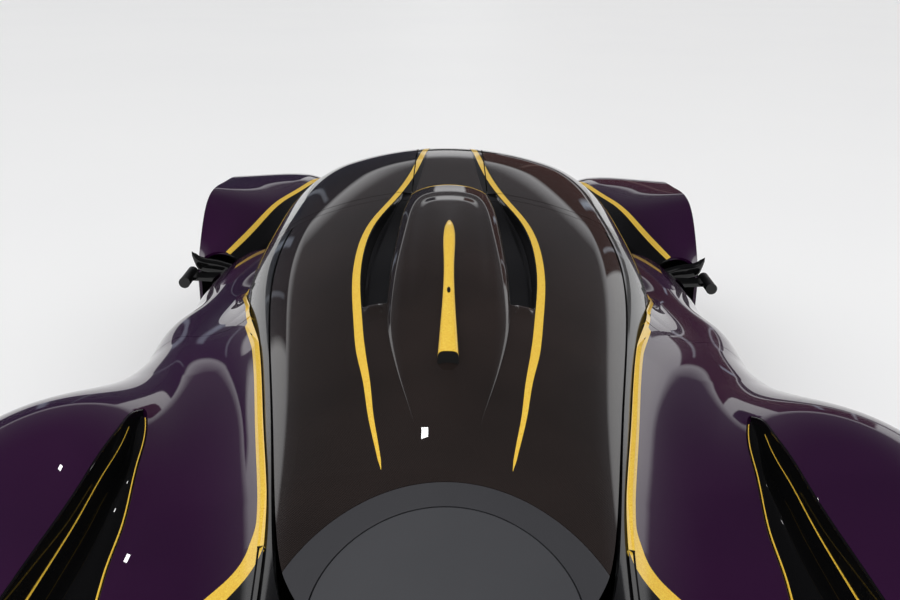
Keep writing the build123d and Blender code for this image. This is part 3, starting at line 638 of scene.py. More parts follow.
@dataclass
class Patch:
    """Vertices and faces of a mesh in the making."""

    points: Points
    faces: list[tuple[int, ...]]

    @staticmethod
    def grid(points: Points, around: bool = False) -> Patch:
        """Quads over a grid of points.

        Args:
            points: shaped (rows, columns, 3).
            around: whether each row closes on itself.

        Returns:
            The patch.
        """
        rows, columns = points.shape[:2]
        index = np.arange(rows * columns).reshape(rows, columns)
        if around:
            index = np.concatenate([index, index[:, :1]], 1)
        quads = np.stack([index[:-1, :-1], index[1:, :-1], index[1:, 1:], index[:-1, 1:]], -1).reshape(-1, 4)
        return Patch(points.reshape(-1, 3), [tuple(q) for q in quads.tolist()])

    @staticmethod
    def loft(sections: Points) -> Patch:
        """Closed body through closed sections, with flat ends.

        Args:
            sections: shaped (rows, columns, 3).

        Returns:
            The body.
        """
        rows, columns = sections.shape[:2]
        body = Patch.grid(sections, True)
        last = (rows - 1) * columns
        body.faces.append(tuple(range(columns)))
        body.faces.append(tuple(reversed(range(last, last + columns))))
        return body

    @staticmethod
    def tube(path: Points, radius: float | Array, around: int = 10) -> Patch:
        """Round bar along a path.

        Args:
            path: points shaped (count, 3).
            radius: its radius, the same all along or one for each point.
            around: points round it.

        Returns:
            The closed bar.
        """
        way = np.gradient(path, axis=0)
        way /= np.linalg.norm(way, axis=1, keepdims=True)
        side = np.cross(way, (0.0, 0.0, 1.0))
        side /= np.maximum(np.linalg.norm(side, axis=1, keepdims=True), 1e-9)
        over = np.cross(side, way)
        turn = np.linspace(0.0, math.tau, around, endpoint=False)
        size = np.broadcast_to(np.asarray(radius, float), (len(path),))[:, None, None]
        ring = np.cos(turn)[None, :, None] * side[:, None] + np.sin(turn)[None, :, None] * over[:, None]
        return Patch.loft(path[:, None] + size * ring)

    @staticmethod
    def turned(
        profile: Sequence[Pair], centre: Triple, around: int = 96, change: Field | None = None
    ) -> Patch:
        """Ring about an axle along X.

        Args:
            profile: closed outline of (x offset, radius).
            centre: the axle's middle.
            around: steps round it.
            change: radius to take off, from angle and profile place.

        Returns:
            The closed ring.
        """
        line = np.array(profile, float)
        turn = np.linspace(0.0, math.tau, around, endpoint=False)[:, None]
        radius = np.broadcast_to(line[None, :, 1], (around, len(line)))
        if change is not None:
            radius = radius - change(turn, np.arange(len(line))[None, :])
        x = np.broadcast_to(line[None, :, 0], radius.shape) + centre[0]
        y, z = centre[1] + radius * np.cos(turn), centre[2] + radius * np.sin(turn)
        ring = np.stack([x, y, z], -1)
        closed = np.concatenate([ring, ring[:1]], 0)
        return Patch.grid(closed, True)

    def joined(self, *others: Patch) -> Patch:
        """This and other patches in one.

        Args:
            others: what to add, in order.

        Returns:
            The joined patch.
        """
        points, faces = [self.points], list(self.faces)
        shift = len(self.points)
        for other in others:
            points.append(other.points)
            faces += [tuple(i + shift for i in face) for face in other.faces]
            shift += len(other.points)
        return Patch(np.vstack(points), faces)

    def mirrored(self) -> Patch:
        """The patch on the other side of the car."""
        return Patch(self.points * (-1.0, 1.0, 1.0), [tuple(reversed(face)) for face in self.faces])

    def both(self) -> Patch:
        """The patch and its mirror image."""
        return self.joined(self.mirrored())

    def clipped(self, *clips: Clip) -> Patch:
        """The part where every clip is positive.

        Args:
            clips: fields over the points.

        Returns:
            The cut patch.
        """
        mesh = bmesh.new()
        for point in self.points:
            mesh.verts.new(point)
        mesh.verts.ensure_lookup_table()
        for face in self.faces:
            mesh.faces.new([mesh.verts[i] for i in face])
        home = mesh.verts.layers.float_vector.new("home")
        for vert in mesh.verts:
            vert[home] = vert.co
        for clip in clips:
            places = np.array([vert[home] for vert in mesh.verts]).reshape(-1, 3)
            if not len(places):
                break
            for vert, value in zip(mesh.verts, clip(places)):
                vert.co = (float(value), vert[home][1], vert[home][2])
            bmesh.ops.bisect_plane(
                mesh, geom=[*mesh.verts, *mesh.edges, *mesh.faces], dist=1e-7, plane_co=(0, 0, 0),
                plane_no=(1, 0, 0), clear_inner=True,
            )
        mesh.verts.index_update()
        points = np.array([tuple(vert[home]) for vert in mesh.verts]).reshape(-1, 3)
        faces = [tuple(v.index for v in face.verts) for face in mesh.faces]
        mesh.free()
        return Patch(points, faces)


@dataclass
class Maker:
    """Turns patches into dressed pieces of the car."""

    count: int = 0
    triangles: int = 0

    def piece(
        self, name: str, patch: Patch, finish: Material, body: str = "body", *, thickness: float = 0.0,
        rim: bool = False, bevel: float = 0.0, inside: Material | None = None, replaces: Sequence[str] = (),
        slot: str = "dark_carbon", sharp: float = 40.0, weld: float = 1e-6, closed: bool = False,
    ) -> bpy.types.Object:
        """Make one piece.

        Args:
            name: its name.
            patch: its surface.
            finish: its material.
            body: the CAD body that it rides on.
            thickness: how far it is thickened inwards.
            rim: whether only its edges are thickened.
            bevel: width of the rounding on its edges.
            inside: material of the inner face.
            replaces: the CAD nodes that it stands for.
            slot: the record's material slot; not used.
            sharp: angle in degrees over which an edge is sharp.
            weld: distance under which points are merged.
            closed: whether it is a closed body, whose faces are turned outwards.

        Returns:
            The object.
        """
        mesh = bpy.data.meshes.new(name)
        mesh.from_pydata(patch.points.tolist(), [], patch.faces)
        tool = bmesh.new()
        tool.from_mesh(mesh)
        bmesh.ops.remove_doubles(tool, verts=tool.verts, dist=weld)
        if closed:
            bmesh.ops.recalc_face_normals(tool, faces=tool.faces)
        tool.to_mesh(mesh)
        tool.free()
        mesh.materials.append(finish)
        if inside:
            mesh.materials.append(inside)
        thing = bpy.data.objects.new(name, mesh)
        bpy.context.collection.objects.link(thing)
        if thickness:
            wall = thing.modifiers.new("wall", "SOLIDIFY")
            wall.thickness = thickness
            wall.offset = -1.0
            wall.use_even_offset = False
            wall.use_rim_only = rim
            if inside:
                wall.material_offset = 1
        if bevel:
            edge = thing.modifiers.new("edge", "BEVEL")
            edge.width = bevel
            edge.segments = 2
            edge.limit_method = "ANGLE"
            edge.angle_limit = math.radians(50)
        if thickness or bevel:
            graph = bpy.context.evaluated_depsgraph_get()
            mesh = bpy.data.meshes.new_from_object(thing.evaluated_get(graph))
            thing.modifiers.clear()
            thing.data = mesh
        mesh.polygons.foreach_set("use_smooth", [True] * len(mesh.polygons))
        mesh.set_sharp_from_angle(angle=math.radians(sharp))
        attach(thing, body)
        if replaces:
            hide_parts(*replaces)
        self.count += 1
        amount = len(mesh.loops) - 2 * len(mesh.polygons)
        self.triangles += amount
        LOG.info("%s: %d triangles", name, amount)
        return thing

    def pair(
        self, name: str, patch: Patch, finish: Material, body: str = "", *, node: str = "", **more: object
    ) -> list[bpy.types.Object]:
        """Make a piece on each side.

        Args:
            name: its name without the side.
            patch: its right-hand surface.
            finish: its material.
            body: the moving body that it rides on, without the side; none for the car's own.
            node: the CAD node that it stands for, without the side.
            more: what else piece takes.

        Returns:
            The right and the left object.
        """
        made = []
        for side in Side:
            on = f"{body}_{side.word}" if body else "body"
            nodes = [f"{node}_{side.word}"] if node else []
            shape = side.turned(patch)
            made.append(self.piece(f"{name}_{side.word}", shape, finish, on, replaces=nodes, **more))
        return made


@dataclass
class Assembly:
    """A part of the car, which makes its pieces with the shared maker and finishes."""

    maker: Maker
    paint: Palette


@dataclass
class CentreBody:
    """Teardrop body from nose to tail, as sections of two tangent arcs.

    Rows: y, half width at the belt, belt height, top height, side radius, all in millimetres.
    """

    rows: tuple[Row, ...] = (
        (-2180, 337, 760, 858, 86),
        (-1800, 385, 765, 925, 140),
        (-1350, 465, 765, 1007, 222),
        (-900, 566, 765, 1078, 297),
        (-450, 652, 760, 1119, 345),
        (0, 677, 742, 1142, 412),
        (450, 668, 715, 1116, 420),
        (900, 562, 680, 925, 235),
        (1300, 400, 640, 705, 45),
    )
    tilt: float = math.radians(8.0)

    def sizes(self, y: Array) -> tuple[Array, ...]:
        """Half width, belt, top and side radius at stations in metres."""
        table = np.array(self.rows) * MM
        return tuple(spline(table[:, 0], table[:, k], y) for k in range(1, 5))

    def arcs(self, y: Array) -> tuple[Array, ...]:
        """The two arcs of a section.

        Args:
            y: stations.

        Returns:
            Side arc's centre and radius, roof arc's centre height and radius, and their joint's angle.
        """
        half, belt, top, side = self.sizes(y)
        side_x = half - side * math.cos(self.tilt)
        side_z = belt - side * math.sin(self.tilt)
        drop = side_z - top
        roof = (side**2 - side_x**2 - drop**2) / (2 * (drop + side))
        joint = np.arctan2(side_z - (top - roof), side_x)
        return side_x, side_z, side, top - roof, roof, joint

    def point(self, y: Array, t: Array) -> Points:
        """Points on the right half.

        Args:
            y: stations.
            t: 0 at the belt to 1 at the top.

        Returns:
            Points of the same shape, with a last axis of 3.
        """
        y, t = np.broadcast_arrays(y, t)
        side_x, side_z, side, roof_z, roof, joint = self.arcs(y)
        first = side * (joint - self.tilt)
        second = roof * (math.pi / 2 - joint)
        way = t * (first + second)
        low = way < first
        angle = np.where(low, self.tilt + way / side, joint + (way - first) / roof)
        reach = np.where(low, side, roof)
        x = np.where(low, side_x, 0.0) + reach * np.cos(angle)
        z = np.where(low, side_z, roof_z) + reach * np.sin(angle)
        return np.stack([x, y, z], -1)

    def placed(self, arcs: tuple[Array, ...], low: Array, side_angle: Array, roof_angle: Array) -> Array:
        """Section parameter of points on the arcs.

        Args:
            arcs: the six values of the arcs.
            low: whether a point is on the side arc.
            side_angle: its angle there.
            roof_angle: its angle on the roof arc.

        Returns:
            The parameter, 0 at the belt to 1 at the top.
        """
        _, _, side, _, roof, joint = arcs
        first, second = side * (joint - self.tilt), roof * (math.pi / 2 - joint)
        way = np.where(low, side * (side_angle - self.tilt), first + roof * (roof_angle - joint))
        return np.clip(way / (first + second), 0.0, 1.0)

    def share(self, y: Array, x: Array) -> Array:
        """Section parameter at a place across the right half.

        Args:
            y: stations.
            x: positions across the car.

        Returns:
            The parameter.
        """
        side_x, _, side, _, roof, joint = arcs = self.arcs(y)
        side_angle = np.arccos(np.clip((x - side_x) / side, -1, 1))
        roof_angle = np.arccos(np.clip(x / roof, -1, 1))
        return self.placed(arcs, x > roof * np.cos(joint), side_angle, roof_angle)

    def share_at_height(self, y: Array, z: Array) -> Array:
        """Section parameter at a height.

        Args:
            y: stations.
            z: heights.

        Returns:
            The parameter.
        """
        _, side_z, side, roof_z, roof, joint = arcs = self.arcs(y)
        side_angle = np.arcsin(np.clip((z - side_z) / side, -1, 1))
        roof_angle = np.arcsin(np.clip((z - roof_z) / roof, -1, 1))
        return self.placed(arcs, z <= side_z + side * np.sin(joint), side_angle, roof_angle)

    def edge_x(self, y: Array, z: Array) -> Array:
        """Outer edge of the body at a height, straight down below the belt.

        Args:
            y: stations.
            z: heights.

        Returns:
            Its x.
        """
        half, belt, _, _ = self.sizes(y)
        side_x, side_z, side, _, _, _ = self.arcs(y)
        lift = np.clip((z - side_z) / side, -1.0, 1.0)
        return np.where(z <= belt, half, side_x + side * np.sqrt(1 - lift**2))

    def rise(self, x: Array, y: Array) -> Array:
        """Height of the surface at plan positions.

        Args:
            x: positions across the car.
            y: stations.

        Returns:
            The height.
        """
        side_x, side_z, side, roof_z, roof, joint = self.arcs(y)
        x = np.abs(x)
        roof_height = roof_z + np.sqrt(np.maximum(roof**2 - x**2, 0.0))
        side_height = side_z + np.sqrt(np.maximum(side**2 - (x - side_x) ** 2, 0.0))
        return np.where(x <= roof * np.cos(joint), roof_height, side_height)


@dataclass
class RoofForms:
    """Stripes, scoop hump, recess ahead of it and channels beside it, along the top of the body."""

    body: CentreBody
    stripe_y: Row = (
        .42, .289, -.10, -.373, -.522, -.786, -.952, -1.16, -1.31, -1.44, -1.56, -1.667, -1.74,
    )
    stripe_x: Row = (
        .084, .094, .1305, .184, .224, .250, .2445, .2225, .2025, .179, .1615, .1415, .128,
    )
    width_y: Row = (.42, .0, -1.30, -1.42, -1.54, -1.64, -1.71, -1.742)
    width: Row = (.020, .021, .0210, .0155, .0120, .0090, .0060, .0006)
    edge_y: Row = (.42, -.10, -.29, -.42, -.65, -.93, -1.10, -1.22, -1.35, -1.48, -1.60, -2.18)
    edge_x: Row = (.072, .100, .116, .134, .148, .155, .153, .146, .126, .098, .070, .050)
    height_y: Row = (-.29, -.341, -.45, -.65, -.93, -1.22, -1.48, -1.62)
    height: Row = (.019, .022, .032, .040, .042, .032, .013, .000)
    dip_y: Row = (-.30, -.341, -.42, -.52, -.76, -.96, -1.06, -1.20)
    dip_depth: Row = (.011, .013, .022, .034, .042, .042, .039, .039)
    lip_y: float = -.290
    lip_sweep: float = .045
    lip_share: float = .34
    rim: float = .048
    rim_blur: float = .010
    crease_depth: float = .0026
    crease_width: float = .011
    step_depth: float = .0030
    ridge_height: float = .0090
    ridge_width: float = .030
    hump_rear: float = -1.620
    channel_rear: float = -1.105
    channel_end: float = .030
    tab_height: float = .0085
    tab_length: float = .020
    tab_shift: float = .018
    band_front: float = .420
    recess: float = .011
    recess_ease: Pair = (-.33, .22)
    recess_reach: float = .06
    channel_rise: Pair = (.0, .16)
    channel_fall: Pair = (.80, 1.0)
    channel_least: float = .004
    stripe_margin: float = .0005
    dome_power: float = 2.5
    step_span: Pair = (-.006, .016)
    crease_fade: Pair = (1.22, 1.46)
    ridge_rise: Pair = (.50, .80)
    ridge_fade: Pair = (1.46, 1.60)
    tab_rise: Pair = (.10, .40)
    tab_fall: Pair = (.70, .98)
    pod_y: Row = (-.70, -.73, -1.00, -1.25, -1.43)
    pod_half: Row = (.0005, .0060, .0135, .0170, .0235)
    pod_height: Row = (.0000, .0060, .0140, .0205, .0300)
    pod_side: float = .60
    pod_crown: float = .38
    pod_sink: float = .002

    def stripe(self, y: Array) -> Array:
        """X of the right stripe's middle."""
        return spline(self.stripe_y, self.stripe_x, y)

    def stripe_width(self, y: Array) -> Array:
        """Width of the stripe."""
        return np.interp(y, self.width_y[::-1], self.width[::-1])

    def edge(self, y: Array) -> Array:
        """Half width of the hump, and of the recess ahead of it."""
        return spline(self.edge_y, self.edge_x, y)

    def outer(self, y: Array) -> Array:
        """X of the channel's outer edge, at the stripe."""
        at_stripe = self.stripe(y) - self.stripe_width(y) / 2 - self.stripe_margin
        return np.maximum(at_stripe, self.edge(y) + self.channel_least)

    def dip(self, x: Array, y: Array) -> Array:
        """Recess ahead of the scoop and channels beside it.

        Args:
            x: positions across the car.
            y: stations.

        Returns:
            The height that they take off the roof.
        """
        x = np.abs(x)
        edge, outer = self.edge(y), self.outer(y)
        ahead = self.recess * ease(-y, *self.recess_ease) * (y > self.lip_y - self.recess_reach)
        v = (x - edge) / (outer - edge)
        flat = np.where(x < edge, 1.0, 1.0 - np.clip(v, 0.0, 1.0))
        depth = spline(self.dip_y, self.dip_depth, y)
        across = ease(v, *self.channel_rise) * (1 - ease(v, *self.channel_fall))
        length = (y < self.lip_y) * (1 - ease(-y, -self.channel_rear - self.channel_end, -self.channel_rear))
        return np.maximum(ahead * flat, depth * across * length)

    def hump(self, x: Array, y: Array) -> Array:
        """Scoop hump with its rim, crease and ridge.

        Args:
            x: positions across the car.
            y: stations.

        Returns:
            The height that it adds to the roof.
        """
        x = np.abs(x)
        edge = self.edge(y)
        tall = np.maximum(spline(self.height_y, self.height, y), 0.0)
        u = np.clip(x / edge, 0.0, 1.0)
        dome = tall * np.sqrt(np.maximum(1 - u**self.dome_power, 0.0))
        from_side = edge - x
        from_lip = (self.lip_y - self.lip_sweep * u**2 - y) * self.lip_share
        rim = all_of(from_side, from_lip, blur=self.rim_blur)
        groove = self.crease_depth * np.exp(-(((rim - self.rim) / self.crease_width) ** 2))
        step = self.step_depth * ease(rim, *(self.rim + shift for shift in self.step_span))
        crease = (groove + step) * (1 - ease(-y, *self.crease_fade))
        ridge = self.ridge_height * np.exp(-((x / self.ridge_width) ** 2))
        ridge = ridge * ease(-y, *self.ridge_rise) * (1 - ease(-y, *self.ridge_fade))
        return np.where(y < self.hump_rear, 0.0, dome - crease + ridge)

    def tab(self, x: Array, y: Array) -> Array:
        """Raised rounded lip behind the channel's end.

        Args:
            x: positions across the car.
            y: stations.

        Returns:
            The height that it adds.
        """
        v = (np.abs(x) - self.edge(y)) / (self.outer(y) - self.edge(y))
        across = ease(v, *self.tab_rise) * (1 - ease(v, *self.tab_fall))
        along = np.exp(-(((y - self.channel_rear + self.tab_shift) / self.tab_length) ** 2))
        return self.tab_height * across * along

    def surface(self, x: Array, y: Array, hump: bool = True) -> Array:
        """Height of the finished roof at plan positions, with or without the scoop hump."""
        roof = self.body.rise(x, y) - self.dip(x, y) + self.tab(x, y)
        return roof + self.hump(x, y) * (y <= self.lip_y + 1e-9) if hump else roof

    def grid(self, y: Array, low: Array, counts: tuple[int, int, int]) -> Points:
        """Right half of the body without the hump, as a grid whose columns follow the scoop's edges.

        Args:
            y: stations.
            low: section parameter where each station starts.
            counts: columns outside the channel, in it, and inside it.

        Returns:
            Points shaped (stations, columns, 3), from the outside in.
        """
        y = np.asarray(y, float)[:, None]
        outer, edge = self.outer(y), self.edge(y)
        start = self.body.share(y, outer)
        t = low + (start - low) * np.linspace(0.0, 1.0, counts[0])[None, :]
        skirt = self.body.point(y, t)
        channel = edge + (outer - edge) * (np.cos(np.linspace(0.0, math.pi, counts[1]))[None, 1:] + 1) / 2
        middle = edge * (1 - np.linspace(0.0, 1.0, counts[2])[None, 1:])
        across = np.concatenate([channel, middle], 1)
        yy = np.broadcast_to(y, across.shape)
        roof = np.stack([across, yy, self.surface(across, yy, False)], -1)
        skirt[..., 2] += self.tab(skirt[..., 0], skirt[..., 1])
        return np.concatenate([skirt, roof], 1)

    def pod_top(self, u: Array, y: Array) -> Points:
        """Pod along the hump's spine.

        Args:
            u: places across it, from -1 to 1.
            y: stations.

        Returns:
            Points on it.
        """
        half = spline(self.pod_y, self.pod_half, y)
        tall = np.maximum(spline(self.pod_y, self.pod_height, y), 0.0)
        turn = u * (math.pi / 2)
        x = half * np.sign(u) * np.abs(np.sin(turn)) ** self.pod_side * (1.0 + 0 * y)
        lift = tall * np.maximum(np.cos(turn), 0.0) ** self.pod_crown - self.pod_sink
        base = self.surface(0.0 * y, y) + 0 * x
        return np.stack([x, y + 0 * x, base + lift], -1)


@dataclass
class Cutlines:
    """Edges between the panels of the centre body, from above and from the side, in metres."""

    circle_x: float = -0.0401
    circle_y: float = 0.9739
    circle_r: float = 0.6006
    corner_y: float = 1.000
    corner_x: float = 0.560
    spine: float = 0.120
    hoop_front: float = -0.290
    hoop_rear: float = -0.338
    pillar: float = 0.046
    door_gap: float = 0.004
    gap: float = 0.003
    window_bottom: float = 0.822
    window_top: float = 1.022
    window_frame: float = 0.062
    window_front: float = 0.03
    window_blur: float = 0.008
    cover_rear: float = -2.180
    seam: tuple[Pair, ...] = ((-0.341, 1.008), (-1.150, 0.903), (-2.180, 0.850))

    def reach(self, p: Points) -> Array:
        """Distance from the centre of the windscreen's arc, right side."""
        return np.hypot(np.abs(p[:, 0]) - self.circle_x, p[:, 1] - self.circle_y)

    def in_door(self, p: Points, gap: float) -> Array:
        """Door's outline, right side.

        Args:
            p: points.
            gap: distance inside it.

        Returns:
            Positive inside the outline less the gap.
        """
        return all_of(
            np.abs(p[:, 0]) - self.spine - gap, p[:, 1] - self.hoop_front - gap,
            self.reach(p) - self.circle_r - gap, self.corner_y - p[:, 1],
        )

    def in_pane(self, p: Points, shift: float) -> Array:
        """Positive inside the windscreen's outline, moved in by shift."""
        side = self.corner_x - shift - np.abs(p[:, 0])
        return np.where(p[:, 1] < self.corner_y, self.circle_r - shift - self.reach(p), side)

    def in_window(self, p: Points, gap: float) -> Array:
        """Outline of the door's window.

        Args:
            p: points.
            gap: distance inside it.

        Returns:
            Positive inside the outline less the gap.
        """
        edge = self.window_frame + gap
        return all_of(
            np.abs(p[:, 0]) - self.spine - edge, p[:, 1] - self.hoop_front - edge,
            self.reach(p) - self.circle_r - edge, self.corner_y - edge - self.window_front - p[:, 1],
            p[:, 2] - self.window_bottom - gap, self.window_top - gap - p[:, 2],
            blur=self.window_blur,
        )

    def seam_z(self, y: Array) -> Array:
        """The engine cover's side seam, an arc through three places.

        Args:
            y: stations.

        Returns:
            Its height.
        """
        (a, p), (b, q), (c, r) = self.seam
        twice = 2 * (a * (q - r) + b * (r - p) + c * (p - q))
        cy = ((a * a + p * p) * (q - r) + (b * b + q * q) * (r - p) + (c * c + r * r) * (p - q)) / twice
        cz = ((a * a + p * p) * (c - b) + (b * b + q * q) * (a - c) + (c * c + r * r) * (b - a)) / twice
        return cz - np.sqrt(np.hypot(a - cy, p - cz) ** 2 - (np.asarray(y) - cy) ** 2)


@dataclass
class Greenhouse(Assembly):
    """Windscreen, its frame with the roof spine and hoop, and the two doors."""

    body: CentreBody
    cut: Cutlines
    forms: RoofForms
    counts: tuple[int, int, int] = (54, 12, 22)
    front: float = 1.300
    frame_rows: int = 150
    pane_rear: float = 0.40
    pane_rows: int = 90
    door_rows: int = 120
    frame_wall: float = 0.030
    trim_wall: float = 0.006
    door_wall: float = 0.034
    window_wall: float = 0.005
    window_gap: float = 0.0015
    sill: float = 0.005

    def sheet(self, low_y: float, high_y: float, rows: int) -> Points:
        """Right half of the canopy between two stations, as a grid."""
        y = np.linspace(low_y, high_y, rows)
        return self.forms.grid(y, 0.0 * y[:, None], self.counts)

    def panels(self, low_y: float, high_y: float, rows: int) -> tuple[Patch, Patch]:
        """Painted part of the canopy, and the dark band inside the stripe.

        Args:
            low_y: rear station.
            high_y: front station.
            rows: number of stations.

        Returns:
            The painted patch and the band.
        """
        points = self.sheet(low_y, high_y, rows)
        first, second = self.counts[0], self.counts[0] + self.counts[1] - 1
        front = int(np.searchsorted(points[:, 0, 1], self.forms.band_front))
        paint = Patch.grid(points[:, :first]).joined(Patch.grid(points[:, second - 1 :]))
        if front < rows - 1:
            paint = paint.joined(Patch.grid(points[front:, first - 1 : second]))
        return paint, Patch.grid(points[: front + 1, first - 1 : second])

    def build(self) -> None:
        """Make the panels."""
        maker, paint = self.maker, self.paint
        cut = self.cut
        whole, band = self.panels(cut.hoop_rear, self.front, self.frame_rows)
        frame = whole.clipped(lambda p: -cut.in_door(p, 0.0), lambda p: -cut.in_pane(p, cut.pillar))
        maker.piece(
            "roof_frame", frame.both(), paint.carbon, thickness=self.frame_wall, inside=paint.cloth,
            replaces=["cabin_frame"], weld=SEAM,
        )
        strip = band.clipped(lambda p: -cut.in_door(p, 0.0))
        maker.piece("roof_band", strip.both(), paint.gloss_black, thickness=self.trim_wall, weld=SEAM)
        pane = Patch.grid(self.sheet(self.pane_rear, self.front, self.pane_rows))
        pane = pane.clipped(lambda p: cut.in_pane(p, cut.pillar + cut.gap))
        maker.piece(
            "windscreen_pane", pane.both(), paint.glass, thickness=self.trim_wall,
            replaces=["windscreen"], slot="glass", weld=SEAM,
        )
        self.doors()

    def doors(self) -> None:
        """Make the skin, band and pane of each door."""
        maker, paint = self.maker, self.paint
        cut = self.cut
        door, band = (
            patch.clipped(
                lambda p: cut.in_door(p, cut.door_gap),
                lambda p: p[:, 2] - self.body.sizes(p[:, 1])[1] - self.sill,
            )
            for patch in self.panels(cut.hoop_front, cut.corner_y, self.door_rows)
        )
        skin = door.clipped(lambda p: -cut.in_window(p, 0.0))
        glass = door.clipped(lambda p: cut.in_window(p, self.window_gap))
        maker.pair(
            "door_skin", skin, paint.carbon, "door", thickness=self.door_wall, inside=paint.cloth,
            node="door",
        )
        maker.pair("door_band", band, paint.gloss_black, "door", thickness=self.trim_wall)
        maker.pair(
            "door_pane", glass, paint.glass, "door", thickness=self.window_wall, node="door_glass",
            slot="glass",
        )


@dataclass
class EngineCover(Assembly):
    """Long rear cover with the scoop, its flanks, and the round heat shield in its tail."""

    house: Greenhouse
    counts: tuple[int, int, int] = (56, 20, 34)
    shield_y: float = -2.097
    shield_r: float = 0.310
    panel_y: float = -2.084
    panel_r: float = 0.228
    port_y: float = -1.165
    port_half: Pair = (.0042, .0145)
    skin_gap: float = 0.0015
    flank_gap: float = 0.0045
    panel_gap: float = 0.0035
    skin_wall: float = 0.010
    channel_wall: float = 0.004
    shield_wall: float = 0.008
    shield_bevel: float = 0.0015
    pod_wall: float = 0.0026
    lip_line: float = 0.0016
    lift: float = 0.0006
    mouth_sink: float = 0.004
    lip_roll: float = 0.004
    lip_length: float = 0.010
    throat_shift: Triple = (0.0, 0.0006, 0.0010)
    port_lift: float = 0.0007

    def ring(self, p: Points, y: float) -> Array:
        """Distance from an upright axis on the centreline."""
        return np.hypot(p[:, 0], p[:, 1] - y)

    def stations(self) -> Array:
        """Stations of the cover, closer together where its forms turn quickly.

        Returns:
            The stations.
        """
        cut, forms = self.house.cut, self.house.forms
        front = cut.hoop_rear - cut.gap
        return np.unique(np.concatenate([
            np.linspace(cut.cover_rear, forms.hump_rear, 64),
            np.linspace(forms.hump_rear, forms.channel_rear - .05, 44),
            np.linspace(forms.channel_rear - .05, forms.channel_rear + .04, 30),
            np.linspace(forms.channel_rear + .04, front, 80),
        ]))

    def flank(self) -> Patch:
        """Right flank, from below the belt to the seam.

        Returns:
            The flank.
        """
        cut, body = self.house.cut, self.house.body
        y = np.linspace(cut.cover_rear, cut.hoop_rear - cut.gap, 130)[:, None]
        stop = body.share_at_height(y, cut.seam_z(y) - self.flank_gap)
        upper = body.point(y, stop * np.linspace(0.0, 1.0, 26)[None, :])
        drop = np.linspace(-0.30, -0.01, 6)[None, :, None] * np.array([0.0, 0.0, 1.0])
        return Patch.grid(np.concatenate([upper[:, :1, :] + drop, upper], 1))

    def scoop(self) -> tuple[Patch, Points]:
        """Hump of the scoop from its swept lip to its tail.

        Returns:
            The right half, and the points along its lip.
        """
        forms = self.house.forms
        u = (1 - np.cos(np.linspace(0.0, math.pi / 2, 40)))[None, :]
        way = np.concatenate([np.linspace(0.0, .04, 9), np.linspace(.04, 1.0, 120)[1:]])[:, None]
        front = forms.lip_y - forms.lip_sweep * (1 - u) ** 2
        y = front + way * (forms.hump_rear - front)
        x = forms.edge(y) * (1 - u)
        z = self.house.body.rise(x, y) + forms.hump(x, y)
        z = z - self.lip_roll * (1 - ease(way, 0.0, self.lip_length)) ** 2
        points = np.stack([x, y, z], -1)[::-1]
        return Patch.grid(points), points[-1]

    def build(self) -> None:
        """Make the cover, flanks, scoop, pod and shield."""
        maker, paint = self.maker, self.paint
        forms, cut = self.house.forms, self.house.cut
        y = self.stations()
        low = self.house.body.share_at_height(y[:, None], cut.seam_z(y[:, None]) + self.skin_gap)
        points = forms.grid(y, low, self.counts)
        first, second = self.counts[0], self.counts[0] + self.counts[1] - 1
        tail = int(np.searchsorted(y, forms.hump_rear))
        ends = int(np.searchsorted(y, forms.channel_rear))
        cover = Patch.grid(points[:, :first]).joined(
            Patch.grid(points[: ends + 1, first - 1 : second]), Patch.grid(points[: tail + 1, second - 1 :])
        )
        top = cover.clipped(lambda p: self.ring(p, self.shield_y) - self.shield_r - self.skin_gap)
        maker.piece(
            "engine_cover_skin", top.both(), paint.carbon, thickness=self.skin_wall, rim=True,
            inside=paint.void, replaces=["engine_cover"], weld=SEAM,
        )
        self.mouth()
        channel = Patch.grid(points[ends:, first - 1 : second])
        maker.piece(
            "scoop_channels", channel.both(), paint.gloss_black, thickness=self.channel_wall, weld=SEAM,
        )
        maker.pair(
            "flank", self.flank(), paint.gloss_black, thickness=self.skin_wall, inside=paint.void,
            node="engine_bay_flank",
        )
        ring = cover.clipped(
            lambda p: self.shield_r - self.ring(p, self.shield_y),
            lambda p: self.ring(p, self.panel_y) - self.panel_r - self.panel_gap,
        )
        panel = cover.clipped(lambda p: self.panel_r - self.ring(p, self.panel_y))
        for word, patch, finish in (("ring", ring, paint.shield_ring), ("panel", panel, paint.shield_panel)):
            maker.piece(
                f"shield_{word}", patch.both(), finish, thickness=self.shield_wall,
                bevel=self.shield_bevel, replaces=[f"heat_shield_{word}"], slot="heat_shield", weld=SEAM,
            )
        self.pod()

    def mouth(self) -> None:
        """Make the scoop's hump, its mouth as a near-black sheet of painted shade, and the gold line along
        its lip.
        """
        maker, paint = self.maker, self.paint
        hump, lip = self.scoop()
        maker.piece("scoop_hump", hump.both(), paint.carbon, weld=SEAM)
        drop = np.linspace(0.0, 1.0, 4)[:, None, None] * np.array([0.0, 0.0, -1.0])
        roof = self.house.forms.surface(lip[:, 0], lip[:, 1] + self.mouth_sink, False)
        depth = (lip[:, 2] - roof + self.mouth_sink)[None, :, None]
        mouth = Patch.grid(lip[None] + depth * drop)
        # the mouth: a near-black sheet of painted shade hung below the lip
        maker.piece("scoop_mouth", mouth.both(), paint.void)
        line = np.concatenate([lip * (-1.0, 1.0, 1.0), lip[::-1][1:]]) + (0.0, 0.0, self.lift)
        tube = Patch.tube(line, self.lip_line, 8)
        maker.piece("scoop_lip_line", tube, paint.gold, slot="gold_paint", closed=True)

